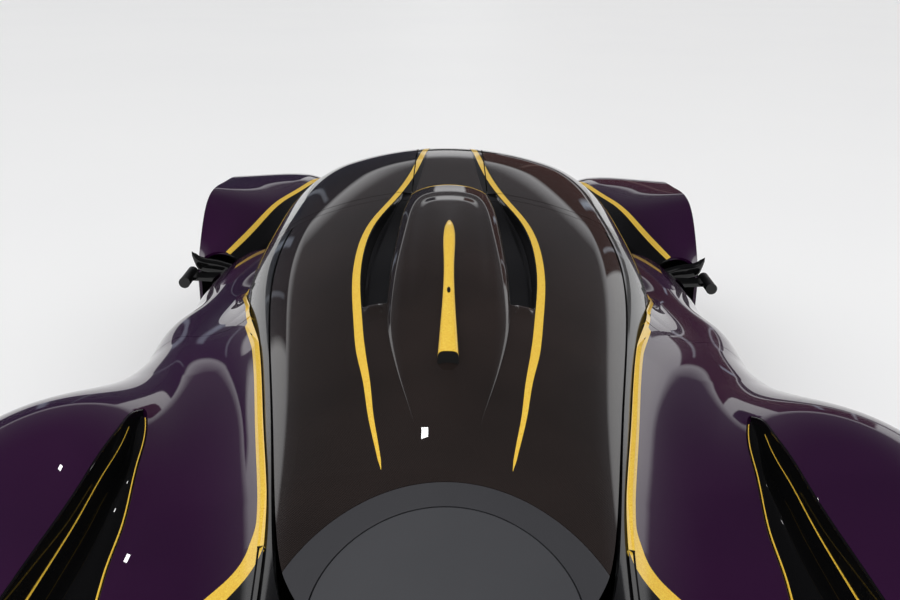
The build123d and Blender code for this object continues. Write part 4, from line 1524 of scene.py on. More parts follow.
    def pod(self) -> None:
        """Make the gold pod along the hump's spine, with its port and mouth as near-black sheets of painted
        shade.
        """
        maker, paint = self.maker, self.paint
        forms = self.house.forms
        y = np.linspace(forms.pod_y[-1], forms.pod_y[0], 90)[:, None]
        u = np.linspace(1.0, -1.0, 29)[None, :]
        shell = forms.pod_top(u, y)
        maker.piece(
            "spine_pod_shell", Patch.grid(shell), paint.gold, thickness=self.pod_wall,
            inside=paint.void, replaces=["spine_pod"], slot="gold_paint", sharp=50.0,
        )
        # the throat and the port: near-black sheets of painted shade standing for dark openings
        back = forms.pod_top(u, y[:1])[0] - self.throat_shift
        fan = np.stack([back, np.broadcast_to((back[0] + back[-1]) / 2, back.shape)])
        maker.piece("spine_pod_throat", Patch.grid(fan), paint.void)
        turn = np.linspace(0.0, math.tau, 25)[None, :]
        size = np.array([1.0, .75, .5, .01])[:, None]
        wide, long = self.port_half
        along = self.port_y + long * size * np.sin(turn)
        half = spline(forms.pod_y, forms.pod_half, along)
        share = np.clip(wide * size * np.cos(turn) / half, -1, 1)
        across = np.sign(share) * np.arcsin(np.abs(share) ** (1 / forms.pod_side)) / (math.pi / 2)
        port = forms.pod_top(across, along) + (0.0, 0.0, self.port_lift)
        maker.piece("spine_pod_port", Patch.grid(port), paint.void)


def arc(
    centre: tuple[Array, Array], radius: Array, first: tuple[Array, Array],
    last: tuple[Array, Array], way: Array, shares: Array,
) -> Points:
    """Circle arcs, one for each station, from a first point to a last one.

    Args:
        centre: x and z of the centres.
        radius: their radii.
        first: x and z where the arcs start.
        last: x and z where they end.
        way: 1 or -1, the direction of each.
        shares: places along them, from 0 to 1.

    Returns:
        X and z, shaped (stations, shares, 2).
    """
    start = np.arctan2(first[1] - centre[1], first[0] - centre[0])
    stop = np.arctan2(last[1] - centre[1], last[0] - centre[0])
    sweep = np.mod((stop - start) * way, math.tau) * way
    angle = start[:, None] + sweep[:, None] * shares[None, :]
    x = centre[0][:, None] + radius[:, None] * np.cos(angle)
    z = centre[1][:, None] + radius[:, None] * np.sin(angle)
    return np.stack([x, z], -1)


@dataclass
class SideBody:
    """Body beside the centre one: a valley by the centre body, a crown, and an upright side.

    Rows: y, then x and z of the inner edge, the valley, the crown's foot and the outer side, in millimetres.
    """

    rows: tuple[Row, ...]
    bottom: float = 0.1055
    centre: CentreBody | None = None
    clearance: float = 0.004
    flange: float = 0.25

    def sizes(self, y: Array) -> tuple[Array, ...]:
        """The eight columns, with the inner edge kept off the centre body.

        Args:
            y: stations.

        Returns:
            The columns in metres.
        """
        table = np.array(sorted(self.rows)) * MM
        inner_x, inner_z, *others = (spline(table[:, 0], table[:, k], y) for k in range(1, 9))
        if self.centre is not None:
            inner_x = np.maximum(inner_x, self.centre.edge_x(y, inner_z) + self.clearance)
        return inner_x, inner_z, *others

    def section(self, y: Array, valley: int = 30, crown: int = 44, side: int = 8) -> Points:
        """Sections from the foot of the outer side over the crown to the inner edge and down.

        Args:
            y: stations.
            valley: points on the valley.
            crown: points on the crown.
            side: points on the outer side.

        Returns:
            Points shaped (stations, columns, 3).
        """
        ix, iz, vx, vz, sx, sz, ox, oz = self.sizes(y)
        twice = 2 * (ix * (vz - sz) + vx * (sz - iz) + sx * (iz - vz))
        aa, bb, cc = ix**2 + iz**2, vx**2 + vz**2, sx**2 + sz**2
        cx = (aa * (vz - sz) + bb * (sz - iz) + cc * (iz - vz)) / twice
        cz = (aa * (sx - vx) + bb * (ix - sx) + cc * (vx - ix)) / twice
        radius = np.hypot(ix - cx, iz - cz)
        turn = np.sign((vx - ix) * (sz - iz) - (vz - iz) * (sx - ix))
        first = arc((cx, cz), radius, (ix, iz), (sx, sz), turn, np.linspace(0.0, 1.0, valley))
        tx, tz = -(sz - cz) / radius * turn, (sx - cx) / radius * turn
        dx, dz = ox - sx, oz - sz
        reach = (dx**2 + dz**2) / (2 * (-dx * tz + dz * tx))
        knee = (sx - reach * tz, sz + reach * tx)
        shares = np.linspace(0.0, 1.0, crown)[1:]
        second = arc(knee, np.abs(reach), (sx, sz), (ox, oz), np.sign(reach), shares)
        down = np.linspace(0.0, 1.0, side)[None, 1:]
        third = np.stack([ox[:, None] + 0 * down, oz[:, None] + (self.bottom - oz[:, None]) * down], -1)
        inner_down = np.linspace(0.0, self.flange, 4)[None, 1:]
        zeroth = np.stack([ix[:, None] + 0 * inner_down, iz[:, None] - inner_down], -1)[:, ::-1]
        flat = np.concatenate([zeroth, first, second, third], 1)[:, ::-1]
        station = np.broadcast_to(y[:, None], flat.shape[:2])
        return np.stack([flat[..., 0], station, flat[..., 1]], -1)

    def patch(self, low_y: float, high_y: float, rows: int) -> Patch:
        """The body between two stations."""
        return Patch.grid(self.section(np.linspace(low_y, high_y, rows)))

    def upper(self, line: Points) -> Points:
        """Valley and crown of one section, from the inner edge out."""
        return line[8:-3][::-1]

    def height(self, x: Array, y: Array) -> Array:
        """Upper surface at plan positions, read from the sections.

        Args:
            x: positions across the car.
            y: stations.

        Returns:
            Its height.
        """
        out = np.empty(len(x))
        for i, line in enumerate(self.section(np.asarray(y, float))):
            upper = self.upper(line)
            order = np.argsort(upper[:, 0])
            out[i] = np.interp(x[i], upper[order, 0], upper[order, 2])
        return out


REAR_ROWS = (
    (380, 640, 716, 725, 715, 800, 694, 968, 480),
    (0, 645, 740, 730, 741, 800, 722, 958, 520),
    (-240, 640, 752, 722, 755, 795, 735, 952, 545),
    (-450, 607, 814, 705, 770, 788, 745, 955, 560),
    (-700, 584, 868, 690, 785, 775, 755, 965, 575),
    (-1000, 501, 884, 600, 805, 742, 785, 1000, 645),
    (-1400, 418, 860, 520, 803, 695, 842, 1042, 840),
    (-1800, 345, 850, 480, 788, 685, 828, 1042, 845),
    (-2180, 313, 812, 470, 748, 665, 770, 985, 710),
)
FENDER_ROWS = (
    (2190, 470, 300, 540, 352, 640, 385, 868, 280),
    (1850, 520, 470, 575, 575, 680, 630, 990, 500),
    (1450, 575, 640, 625, 730, 720, 772, 1030, 752),
    (1050, 620, 660, 670, 740, 765, 790, 1035, 825),
    (700, 700, 640, 745, 708, 820, 765, 1035, 815),
    (400, 780, 590, 820, 632, 865, 672, 1015, 620),
)


@dataclass(frozen=True)
class Pinstripe:
    """Gold line along a duct: its share across the wall, its front end, its radius there and at the rear."""

    share: float
    front: float
    thin: float
    thick: float


@dataclass
class Duct(Assembly):
    """Long open duct in the top of a rear quarter, with pinstripes on its walls and its inner lip."""

    quarter: SideBody
    tip_y: float = -1.318
    rear: float = -2.180
    outer_y: Row = (-1.318, -1.335, -1.44, -1.58, -1.73, -1.86, -1.985, -2.20)
    outer_x: Row = (.7135, .720, .728, .730, .734, .745, .760, .790)
    inner_y: Row = (-1.318, -1.345, -1.465, -1.55, -1.64, -1.767, -1.88, -1.95, -2.20)
    inner_x: Row = (.7120, .702, .672, .661, .648, .631, .625, .618, .592)
    depth_y: Row = (-1.318, -1.36, -1.45, -1.60, -1.90, -2.20)
    depth: Row = (.006, .030, .075, .098, .120, .135)
    roll: float = .006
    sink: float = .0015
    wall_power: float = 0.45
    fall_power: float = 0.40
    on_wall: tuple[Pinstripe, Pinstripe] = (
        Pinstripe(.935, -1.40, .0011, .0042), Pinstripe(.34, -1.52, .0010, .0026),
    )
    on_lip: Pinstripe = Pinstripe(0.0, -1.36, .0011, .0026)
    line_rear: float = -2.175
    line_steps: int = 70
    line_taper: float = 1.6
    line_lift: float = .0006

    def edges(self, y: Array) -> tuple[Array, Array]:
        """X of the inner and outer edges."""
        return spline(self.inner_y, self.inner_x, y), spline(self.outer_y, self.outer_x, y)

    def inside(self, p: Points) -> Array:
        """The opening, seen from above.

        Args:
            p: points.

        Returns:
            Positive inside it.
        """
        inner, outer = self.edges(p[:, 1])
        x = np.abs(p[:, 0])
        return np.where(p[:, 2] > 0.5, all_of(x - inner, outer - x, (self.tip_y - p[:, 1]) * 0.5), -1.0)

    def wall(self, y: Array, share: Array) -> Points:
        """Points round the duct, from its inner edge to its outer one.

        Args:
            y: stations.
            share: 0 at the inner edge to 1 at the outer one.

        Returns:
            Points shaped (stations, shares, 3).
        """
        inner, outer = self.edges(y)
        width = outer - inner
        inner_z, outer_z = self.quarter.height(inner, y), self.quarter.height(outer, y)
        deep = spline(self.depth_y, self.depth, y)
        turn = share * math.pi
        across = (1 - np.sign(np.cos(turn)) * np.abs(np.cos(turn)) ** self.wall_power) / 2
        fall = np.sin(turn) ** self.fall_power
        x = inner[:, None] + width[:, None] * across[None, :]
        drop = deep[:, None] * fall[None, :]
        z = inner_z[:, None] * (1 - share) + outer_z[:, None] * share - drop - self.sink
        return np.stack([x, np.broadcast_to(y[:, None], x.shape), z], -1)

    def pinstripe(self, line: Pinstripe) -> Patch:
        """Pinstripe along the wall, or along the inner lip where its share is 0.

        Args:
            line: its sizes.

        Returns:
            The closed line.
        """
        y = np.linspace(self.line_rear, line.front, self.line_steps)
        if line.share:
            path = self.wall(y, np.array([line.share]))[:, 0] + (0.0, 0.0, self.line_lift)
        else:
            x = self.edges(y)[0] + self.roll * .9
            path = np.stack([x, y, self.quarter.height(x, y) - self.roll * .45], -1)
        fade = np.linspace(1.0, 0.0, self.line_steps) ** self.line_taper
        return Patch.tube(path, fade * (line.thick - line.thin) + line.thin, 6)

    def build(self) -> None:
        """Make the liners, their rolled edges and the pinstripes."""
        maker, paint = self.maker, self.paint
        y = np.linspace(self.rear, self.tip_y - .001, 90)
        liner = Patch.grid(self.wall(y, np.linspace(0.0, 1.0, 25)))
        inner, outer = (
            np.stack([x, y, self.quarter.height(x, y) - self.roll * .72], -1)[::2] for x in self.edges(y)
        )
        roll = Patch.tube(inner, self.roll * .5, 8).joined(Patch.tube(outer, self.roll * .5, 8))
        high, low = self.on_wall
        lines = self.pinstripe(high).joined(self.pinstripe(self.on_lip), self.pinstripe(low))
        maker.pair("duct_liner", liner, paint.gloss_black)
        maker.pair("duct_edge", roll, paint.gloss_black, closed=True)
        maker.pair("duct_pinstripes", lines, paint.gold, slot="gold_paint", closed=True)


@dataclass
class Fenders(Assembly):
    """Rear quarters, side pods and front fenders, both sides."""

    body: CentreBody
    rear: SideBody = field(default_factory=lambda: SideBody(REAR_ROWS, centre=CentreBody()))
    front: SideBody = field(default_factory=lambda: SideBody(FENDER_ROWS))
    quarter_span: tuple[float, float, int] = (-2.180, -.610, 190)
    pod_span: tuple[float, float, int] = (-.815, .380, 120)
    front_span: tuple[float, float, int] = (.400, 2.190, 170)
    wall: float = .012
    gap: float = .003
    rear_axle: Pair = (-1.420, 0.360)
    rear_arch: float = 0.402
    rear_arch_from: float = 0.60
    rear_arch_inner: float = 0.6255
    front_axle: Pair = (1.350, 0.345)
    front_arch: float = 0.397
    arch_margin: float = .004
    arch_overrun: float = 0.62
    arch_bottom: float = .106
    rib_depth: float = .0012
    bay: Pair = (.241, .601)
    undercut_y: Row = (-2.28, -1.83, -1.82)
    undercut_z: Row = (0.4125, 0.0975, 0.0)
    stripe_y: Row = (
        -.95, -1.14, -1.22, -1.41, -1.55, -1.68, -1.735, -1.835, -1.893, -1.927, -1.96, -2.05, -2.18,
    )
    stripe_x: Row = (
        .523, .484, .468, .430, .400, .3760, .3660, .3530, .3560, .3720, .400, .485, .640,
    )
    stripe_bottom: float = .60
    stripe_knots: tuple[float, float, int] = (-2.19, .39, 300)
    front_stripe_y: Row = (2.18, 1.85, 1.45, 1.13, .913, .662, .47, .40)
    front_stripe_x: Row = (.560, .590, .650, .702, .754, .808, .865, .890)
    front_bottom: float = .20
    width_y: Row = (-2.18, -1.95, -1.85, -1.75)
    width: Row = (.060, .045, .032, .0205)
    edge_width: float = .0190
    pod_width: float = .0105
    inner_front: float = -1.780
    blend: float = .08
    blade_at: Row = (0.0, 0.15, 0.45, 0.75, 1.0)
    blade: tuple[Triple, ...] = (
        (1.034, .400, .684), (1.012, .396, .652), (.930, .392, .632), (.850, .388, .615), (.780, .386, .640),
    )
    blade_size: Pair = (.062, .020)
    blade_tip: float = .35
    blade_growth: float = 5.0
    gap_start: Pair = (.553, -.800)
    gap_end: Pair = (.820, -.620)
    gap_overlap: float = .02

    def clear_of_centre(self, p: Points) -> Array:
        """Positive outside the centre body plus the panel gap."""
        return np.abs(p[:, 0]) - self.body.edge_x(p[:, 1], p[:, 2]) - self.gap

    def behind_gap(self, p: Points) -> Array:
        """Slanted gap between quarter and side pod.

        Args:
            p: points.

        Returns:
            Distance behind it.
        """
        (ax, ay), (bx, by) = self.gap_start, self.gap_end
        x = np.minimum(np.abs(p[:, 0]), bx)
        return ay + (by - ay) / (bx - ax) * (x - ax) - p[:, 1]

    def junction(self, y: Array) -> Array:
        """Line where the rear body meets the centre body.

        Args:
            y: stations.

        Returns:
            Its x.
        """
        sections = self.rear.section(y, 60)
        out = np.empty(len(y))
        for i, line in enumerate(sections):
            upper = self.rear.upper(line)
            reach = self.clear_of_centre(upper)
            k = max(int(np.argmax(reach > 0)), 1)
            share = np.clip(reach[k - 1] / min(reach[k - 1] - reach[k], -1e-9), 0.0, 1.0)
            out[i] = upper[k - 1, 0] + share * (upper[k, 0] - upper[k - 1, 0])
        return out

    def stripe_edges(self, y: Array) -> tuple[Array, Array]:
        """X of the gold stripe's inner and outer edges along the inner edge of the side body.

        Args:
            y: stations.

        Returns:
            The inner edge, 0 where the stripe starts at the panel's own edge, and the outer one.
        """
        middle = spline(self.stripe_y, self.stripe_x, y)
        half = np.interp(y, self.width_y, self.width) / 2 * np.hypot(1.0, np.gradient(middle, y))
        mix = ease(-y, -self.inner_front, self.blend - self.inner_front)
        on_pod = y >= self.gap_start[1] - self.gap_overlap
        along_edge = self.junction(y) + np.where(on_pod, self.pod_width, self.edge_width)
        inner = np.where(y < self.inner_front, middle - half, 0.0)
        return inner, along_edge * (1 - mix) + (middle + half) * mix

    def stripe_clips(self) -> tuple[Clip, Clip]:
        """Edges of the gold stripe.

        Returns:
            Fields that are positive inside its inner edge and inside its outer one.
        """
        knots = np.linspace(*self.stripe_knots)
        low, high = self.stripe_edges(knots)

        def inner(p: Points) -> Array:
            """Distance inside the stripe's inner edge."""
            return np.interp(p[:, 1], knots, low) - np.abs(p[:, 0])

        def outer(p: Points) -> Array:
            """Distance inside the stripe's outer edge, on the upper surface."""
            return all_of(np.interp(p[:, 1], knots, high) - np.abs(p[:, 0]), p[:, 2] - self.stripe_bottom)

        return inner, outer

    def rear_arch_clear(self, p: Points) -> Array:
        """Positive outside the rear wheel's arch, which starts at some distance from the centreline."""
        reach = np.hypot(p[:, 1] - self.rear_axle[0], p[:, 2] - self.rear_axle[1]) - self.rear_arch
        return np.where(p[:, 0] > self.rear_arch_from, reach, 1.0)

    def front_arch_clear(self, p: Points) -> Array:
        """Positive outside the front wheel's arch."""
        return np.hypot(p[:, 1] - self.front_axle[0], p[:, 2] - self.front_axle[1]) - self.front_arch

    def front_stripe(self, y: Array) -> Array:
        """X of the middle of the front fender's stripe."""
        return spline(self.front_stripe_y, self.front_stripe_x, y)

    def build(self) -> None:
        """Make the painted panels, ducts and arches."""
        maker, paint = self.maker, self.paint
        duct = Duct(maker, paint, self.rear)
        quarter = self.rear.patch(*self.quarter_span).clipped(
            lambda p: self.behind_gap(p) - self.gap / 2, self.clear_of_centre, self.rear_arch_clear,
            lambda p: p[:, 2] - np.interp(p[:, 1], self.undercut_y, self.undercut_z),
            lambda p: -duct.inside(p),
        )
        pod = self.rear.patch(*self.pod_span).clipped(
            lambda p: -self.gap / 2 - self.behind_gap(p), self.clear_of_centre,
        )
        front = self.front.patch(*self.front_span).clipped(self.front_arch_clear)
        inner, outer = self.stripe_clips()
        crown = front.clipped(
            lambda p: np.maximum(p[:, 0] - self.front_stripe(p[:, 1]), self.front_bottom - p[:, 2])
        )
        valley = front.clipped(
            lambda p: self.front_stripe(p[:, 1]) - p[:, 0], lambda p: p[:, 2] - self.front_bottom
        )
        purple, black, gold = (
            (paint.purple, "purple_paint"), (paint.gloss_black, "dark_carbon"), (paint.gold, "gold_paint"),
        )
        panels = (
            ("quarter_skin", quarter.clipped(lambda p: -outer(p)), purple, "rear_quarter"),
            ("quarter_inner", quarter.clipped(lambda p: all_of(inner(p), outer(p))), black, ""),
            ("pod_skin", pod.clipped(lambda p: -outer(p)), purple, "side_pod"),
            ("fender_skin", crown, purple, "front_fender"),
            ("fender_inner", valley, black, ""),
            ("quarter_stripe", quarter.clipped(lambda p: all_of(-inner(p), outer(p))), gold, ""),
            ("pod_stripe", pod.clipped(outer), gold, ""),
        )
        for name, patch, (finish, slot), node in panels:
            maker.pair(name, patch, finish, thickness=self.wall, inside=paint.void, node=node, slot=slot)
        duct.build()
        self.arches()
        self.blades()

    def blades(self) -> None:
        """Make the black blades that close the rear ends of the front fenders."""
        maker, paint = self.maker, self.paint
        share = np.linspace(0.0, 1.0, 40)
        path = np.stack([spline(self.blade_at, line, share) for line in zip(*self.blade)], -1)
        turn = np.linspace(0.0, math.tau, 20, endpoint=False)[None, :]
        deep, thick = self.blade_size
        slim = np.minimum(1.0, self.blade_tip + self.blade_growth * np.minimum(share, 1 - share))[:, None]
        y = path[:, 1:2] + thick / 2 * np.sin(turn) * slim
        z = path[:, 2:3] + deep / 2 * np.cos(turn) * slim
        blade = Patch.loft(np.stack([path[:, :1] + 0 * y, y, z], -1))
        maker.pair("fender_blade", blade, paint.gloss_black, closed=True)

    def arches(self) -> None:
        """Make the liners of the wheel arches."""
        maker, paint = self.maker, self.paint
        turn = np.linspace(-self.arch_overrun, math.pi + self.arch_overrun, 73)[:, None]
        for name, (axle_y, axle_z), radius, side_body, inner_x in (
            ("rear", self.rear_axle, self.rear_arch, self.rear, self.rear_arch_inner),
            ("front", self.front_axle, self.front_arch, self.front, None),
        ):
            y, z = axle_y + radius * np.cos(turn), axle_z + radius * np.sin(turn)
            inside, _, _, _, _, _, outside, _ = side_body.sizes(y)
            start = inside + self.arch_margin if inner_x is None else inner_x + 0 * y
            ribs = self.rib_depth * np.cos(turn * 60) ** 2
            x = start + (outside - self.arch_margin - start) * np.linspace(0.0, 1.0, 14)[None, :]
            roof = np.stack([x, y + 0 * x, np.maximum(z + ribs + 0 * x, self.arch_bottom)], -1)
            patch = Patch.grid(roof)
            if inner_x is not None:
                patch = patch.joined(self.bay_wall(turn))
            maker.pair(f"{name}_arch_liner", patch, paint.matt_carbon, weld=SEAM)

    def bay_wall(self, turn: Array) -> Patch:
        """Inner wall of the rear arch, open where the suspension passes.

        Args:
            turn: angles round the axle.

        Returns:
            The right wall.
        """
        (axle_y, axle_z), radius = self.rear_axle, self.rear_arch
        bay_y, bay_z = self.bay[0], self.bay[1] - axle_z
        c, s = np.cos(turn), np.sin(turn)
        above = np.where(s > 0, bay_z / np.maximum(s, 1e-6), 9.0)
        reach = np.minimum(np.minimum(bay_y / np.maximum(np.abs(c), 1e-6), above), radius)
        scale = reach + (radius - reach) * np.linspace(1.0, 0.0, 6)[None, :]
        z = np.maximum(axle_z + scale * s, self.arch_bottom)
        return Patch.grid(np.stack([self.rear_arch_inner + 0 * scale, axle_y + scale * c, z], -1))


@dataclass
class Stripes(Assembly):
    """Gold stripes laid just over the roof and the front fenders, and the roof stripes' dark inner lines."""

    house: Greenhouse
    fenders: Fenders
    lift: float = 0.0005
    roof_span: tuple[float, float, int] = (-1.742, 0.400, 300)
    shadow_span: tuple[float, float, int] = (-.338, 0.400, 90)
    shadow_y: Row = (-.338, -.20, .40)
    shadow_width: Row = (.0005, .0055, .0110)
    shadow_shift: float = .0113
    front_span: tuple[float, float, int] = (.402, 2.185, 160)
    front_ends: Pair = (.401, 2.189)
    front_y: Row = (.4, 1.6, 2.18)
    front_width: Row = (.018, .016, .012)

    def ribbon(self, middle: Array, width: Array, y: Array, height: Field) -> Patch:
        """Strip over a surface, from its plan.

        Args:
            middle: x of its middle.
            width: its width.
            y: y of its middle.
            height: surface height from x and y.

        Returns:
            The patch.
        """
        across = np.linspace(0.5, -0.5, 7)
        way_x, way_y = np.gradient(middle), np.gradient(y)
        size = np.hypot(way_x, way_y)
        shift = width[:, None] * across[None, :]
        x = middle[:, None] + shift * (way_y / size)[:, None]
        yy = y[:, None] - shift * (way_x / size)[:, None]
        z = height(x.ravel(), yy.ravel()).reshape(x.shape) + self.lift
        return Patch.grid(np.stack([x, yy, z], -1))

    def build(self) -> None:
        """Lay the stripes."""
        maker, paint = self.maker, self.paint
        forms, body, cut = self.house.forms, self.house.body, self.house.cut
        y = np.linspace(*self.roof_span)
        top = self.ribbon(forms.stripe(y), forms.stripe_width(y), y, body.rise)
        y = np.linspace(*self.shadow_span)
        width = np.interp(y, self.shadow_y, self.shadow_width)
        dark = self.ribbon(forms.stripe(y) + self.shadow_shift + width / 2, width, y, body.rise)
        for name, patch, finish, slot in (
            ("roof_stripes", top, paint.gold, "gold_paint"),
            ("roof_shadow_lines", dark, paint.gloss_black, "dark_carbon"),
        ):
            fixed = patch.clipped(lambda p: -cut.in_door(p, 0.0))
            maker.piece(name, fixed.both(), finish, slot=slot)
            moving = patch.clipped(lambda p: cut.in_door(p, cut.door_gap))
            maker.pair(name, moving, finish, "door", slot=slot)
        fenders = self.fenders
        y = np.linspace(*self.front_span)
        width = np.interp(y, self.front_y, self.front_width)
        front = self.ribbon(fenders.front_stripe(y), width, y, fenders.front.height).clipped(
            lambda p: p[:, 1] - self.front_ends[0], lambda p: self.front_ends[1] - p[:, 1]
        )
        maker.piece("front_stripes", front.both(), paint.gold, slot="gold_paint")


@dataclass(frozen=True)
class WheelSize:
    """Sizes of one wheel, and how far its middle stands from the centreline."""

    axle_y: float
    radius: float
    width: float
    rim: float
    track: float


class Corner(Enum):
    """Front and rear wheels."""

    FRONT = WheelSize(axle_y=1.350, radius=0.345, width=0.265, rim=0.254, track=0.832)
    REAR = WheelSize(axle_y=-1.420, radius=0.360, width=0.325, rim=0.267, track=0.830)


@dataclass
class Wheel(Assembly):
    """Tyre with a road tread, and the dressing of its rim.

    Wall, nut and lip are outlines: how far sideways and outwards each of their points stands.
    """

    corner: Corner
    steps: int = 180
    grooves: tuple[int, ...] = (13, 19, 25)
    crown_first: int = 8
    crown_middle: int = 19
    crown_last: int = 30
    sipe_turns: int = 30
    sipe_slant: float = .55
    sipe_limit: float = .86
    groove_depth: float = .006
    sipe_depth: float = .0035
    crown_drop: float = .0030
    spokes: int = 10
    spoke_from: float = .052
    spoke_margin: float = .016
    spoke_u: Row = (-1.0, -.9, -.55, 0.0, .55, .9, 1.0, .9, 0.0, -.9)
    spoke_lift: Row = (0.0, .45, .85, 1.0, .85, .45, 0.0, -.05, -.05, -.05)
    nut: tuple[Pair, ...] = (
        (0.0, .001), (0.0, .050), (.010, .050), (.016, .044), (.018, .034), (.030, .032), (.032, .026),
        (.024, .020), (.024, .001),
    )
    stud_depth: float = .004
    lip: tuple[Pair, ...] = (
        (-.004, -.011), (.002, -.013), (.004, -.006), (.002, .0005), (-.004, .0005),
    )

    @property
    def centre(self) -> Triple:
        """Middle of the right wheel."""
        size = self.corner.value
        return size.track, size.axle_y, size.radius

    def tread(self, turn: Array, place: Array) -> Array:
        """Grooves and sipes of the tread.

        Args:
            turn: angles.
            place: places on the profile.

        Returns:
            Depth cut from the tyre.
        """
        crown = (place >= self.crown_first) & (place <= self.crown_last)
        aside = np.abs(place - self.crown_middle)
        groove = np.isin(place, self.grooves) * self.groove_depth
        slant = np.sin(turn * self.sipe_turns + aside * self.sipe_slant)
        sipe = crown * (slant > self.sipe_limit) * (aside > 2) * self.sipe_depth
        return np.where(crown, np.maximum(groove, sipe), 0.0)

    def tyre(self) -> Patch:
        """Right tyre.

        Returns:
            The closed tyre.
        """
        size = self.corner.value
        half = size.width / 2
        wall = [
            (half * .90, size.rim + .0035), (half * .94, size.rim + .006), (half * .985, size.rim + .030),
            (half - .0015, size.radius - .048), (half - .002, size.radius - .032),
            (half - .006, size.radius - .020), (half - .013, size.radius - .0105),
            (half - .022, size.radius - .0045),
        ]
        across = np.linspace(half - .028, -(half - .028), 23)
        crown = [(float(x), size.radius - .0008 - self.crown_drop * (x / half) ** 2) for x in across]
        back = [(-x, r) for x, r in reversed(wall)]
        return Patch.turned(wall + crown + back, self.centre, self.steps, self.tread)

    def face(self) -> Patch:
        """Crowned blades over the spokes, the centre nut with its studs and the rim's edge.

        Returns:
            The right wheel's dressing.
        """
        size = self.corner.value
        face_x = size.track + size.width / 2 * 0.62
        out = Patch(np.zeros((0, 3)), [])
        stop = size.rim - self.spoke_margin
        reach = np.linspace(self.spoke_from, stop, 12)
        half = np.interp(reach, [self.spoke_from, .13, stop], [.015, .010, .018])
        bulge = np.interp(reach, [self.spoke_from, .12, stop], [.012, .005, .008])
        u, lift = np.array(self.spoke_u), np.array(self.spoke_lift)
        r, w = reach[:, None], half[:, None] * u[None, :]
        x = face_x + .0003 + bulge[:, None] * lift[None, :] + 0 * w
        for k in range(self.spokes):
            angle = math.tau * k / self.spokes
            c, s = math.cos(angle), math.sin(angle)
            blade = np.stack([x, size.axle_y + r * c - w * s, size.radius + r * s + w * c], -1)
            out = out.joined(Patch.loft(blade))
        nut = Patch.turned(
            [(face_x - size.track + .0005 + a, r) for a, r in self.nut], self.centre, 72,
            lambda turn, place: np.isin(place, (5, 6)) * self.stud_depth * (np.sin(turn * 6) > 0),
        )
        edge = size.width / 2 * .93
        lip = Patch.turned([(edge + a, size.rim + b) for a, b in self.lip], self.centre, 120)
        return out.joined(nut, lip)

    def build(self) -> None:
        """Make both sides' pieces."""
        maker, paint = self.maker, self.paint
        word = self.corner.name.lower()
        on = f"{word}_wheel"
        maker.pair(
            f"{word}_tread_tyre", self.tyre(), paint.tyre, on, node=f"{word}_tyre", slot="tyre", closed=True,
            sharp=35.0,
        )
        maker.pair(f"{word}_wheel_face", self.face(), paint.wheel, on, slot="wheel", closed=True)


@dataclass
class Cabin(Assembly):
    """Padding of the two seats."""

    offset: float = 0.265
    half: float = 0.195
    back: tuple[Pair, Pair] = ((-0.150, 0.325), (-0.250, 0.715))
    base: tuple[Pair, Pair] = ((-0.130, 0.306), (0.300, 0.256))
    back_thickness: float = .026
    base_thickness: float = .030
    rest: float = .0012
    squareness: float = 0.85
    tapers: Pair = (.05, .06)
    crown_power: float = 0.45
    channel_reach: float = .93
    channels: int = 3
    channel_depth: float = .22
    channel_width: float = .10
    fill: float = 0.7

    def squared(self, v: Array) -> Array:
        """Places from -1 to 1, closer together towards the edges."""
        return np.sign(v) * np.abs(v) ** self.squareness

    def pad(self, low: Pair, high: Pair, thick: float, lean: float) -> Patch:
        """Crowned closed pad on a slope.

        Args:
            low: y and z where it starts.
            high: y and z where it ends.
            thick: its thickness.
            lean: 1 for a pad that faces up, -1 for one that faces forwards.

        Returns:
            The pad of the right seat.
        """
        a = np.linspace(-1.0, 1.0, 41)[:, None]
        b = np.linspace(-1.0, 1.0, 33)[None, :]
        u = self.squared(a) * (1 - self.tapers[0] * b**2)
        v = self.squared(b) * (1 - self.tapers[1] * a**2)
        crown = np.clip((1 - a**6) * (1 - b**6), 0.0, 1.0) ** self.crown_power
        from_seam = np.abs(np.mod(b * self.channels + .5, 1.0) - .5) / self.channel_width
        channels = 1 - self.channel_depth * np.exp(-(from_seam**2)) * (np.abs(a) < self.channel_reach)
        way = np.array([high[0] - low[0], high[1] - low[1]])
        length = float(np.hypot(*way))
        way = way / length
        normal = np.array([-way[1], way[0]]) * lean
        top = thick * crown * channels + self.rest
        along = (v + 1) / 2 * length
        rows = []
        for height in (top, self.rest + 0 * top):
            yz = np.array([low])[:, None] + along[..., None] * way + height[..., None] * normal
            rows.append(np.stack([self.offset + u * self.half + 0 * along, yz[..., 0], yz[..., 1]], -1))
        return Patch.grid(rows[0]).joined(Patch.grid(rows[1]))

    def build(self) -> None:
        """Make the pads."""
        maker, paint = self.maker, self.paint
        for name, (low, high), thick, lean in (
            ("seat_cushion", self.base, self.base_thickness, 1.0),
            ("seat_back_pad", self.back, self.back_thickness, -1.0),
        ):
            patch = self.pad(low, high, thick, lean)
            for pad in maker.pair(name, patch, paint.leather, slot="trim", weld=1e-4, closed=True):
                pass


@dataclass(frozen=True)
class SmallLamp:
    """A small lamp overhead, mirrored in the lacquer."""

    name: str
    place: Triple
    size: Pair
    power: float
    turn: Triple


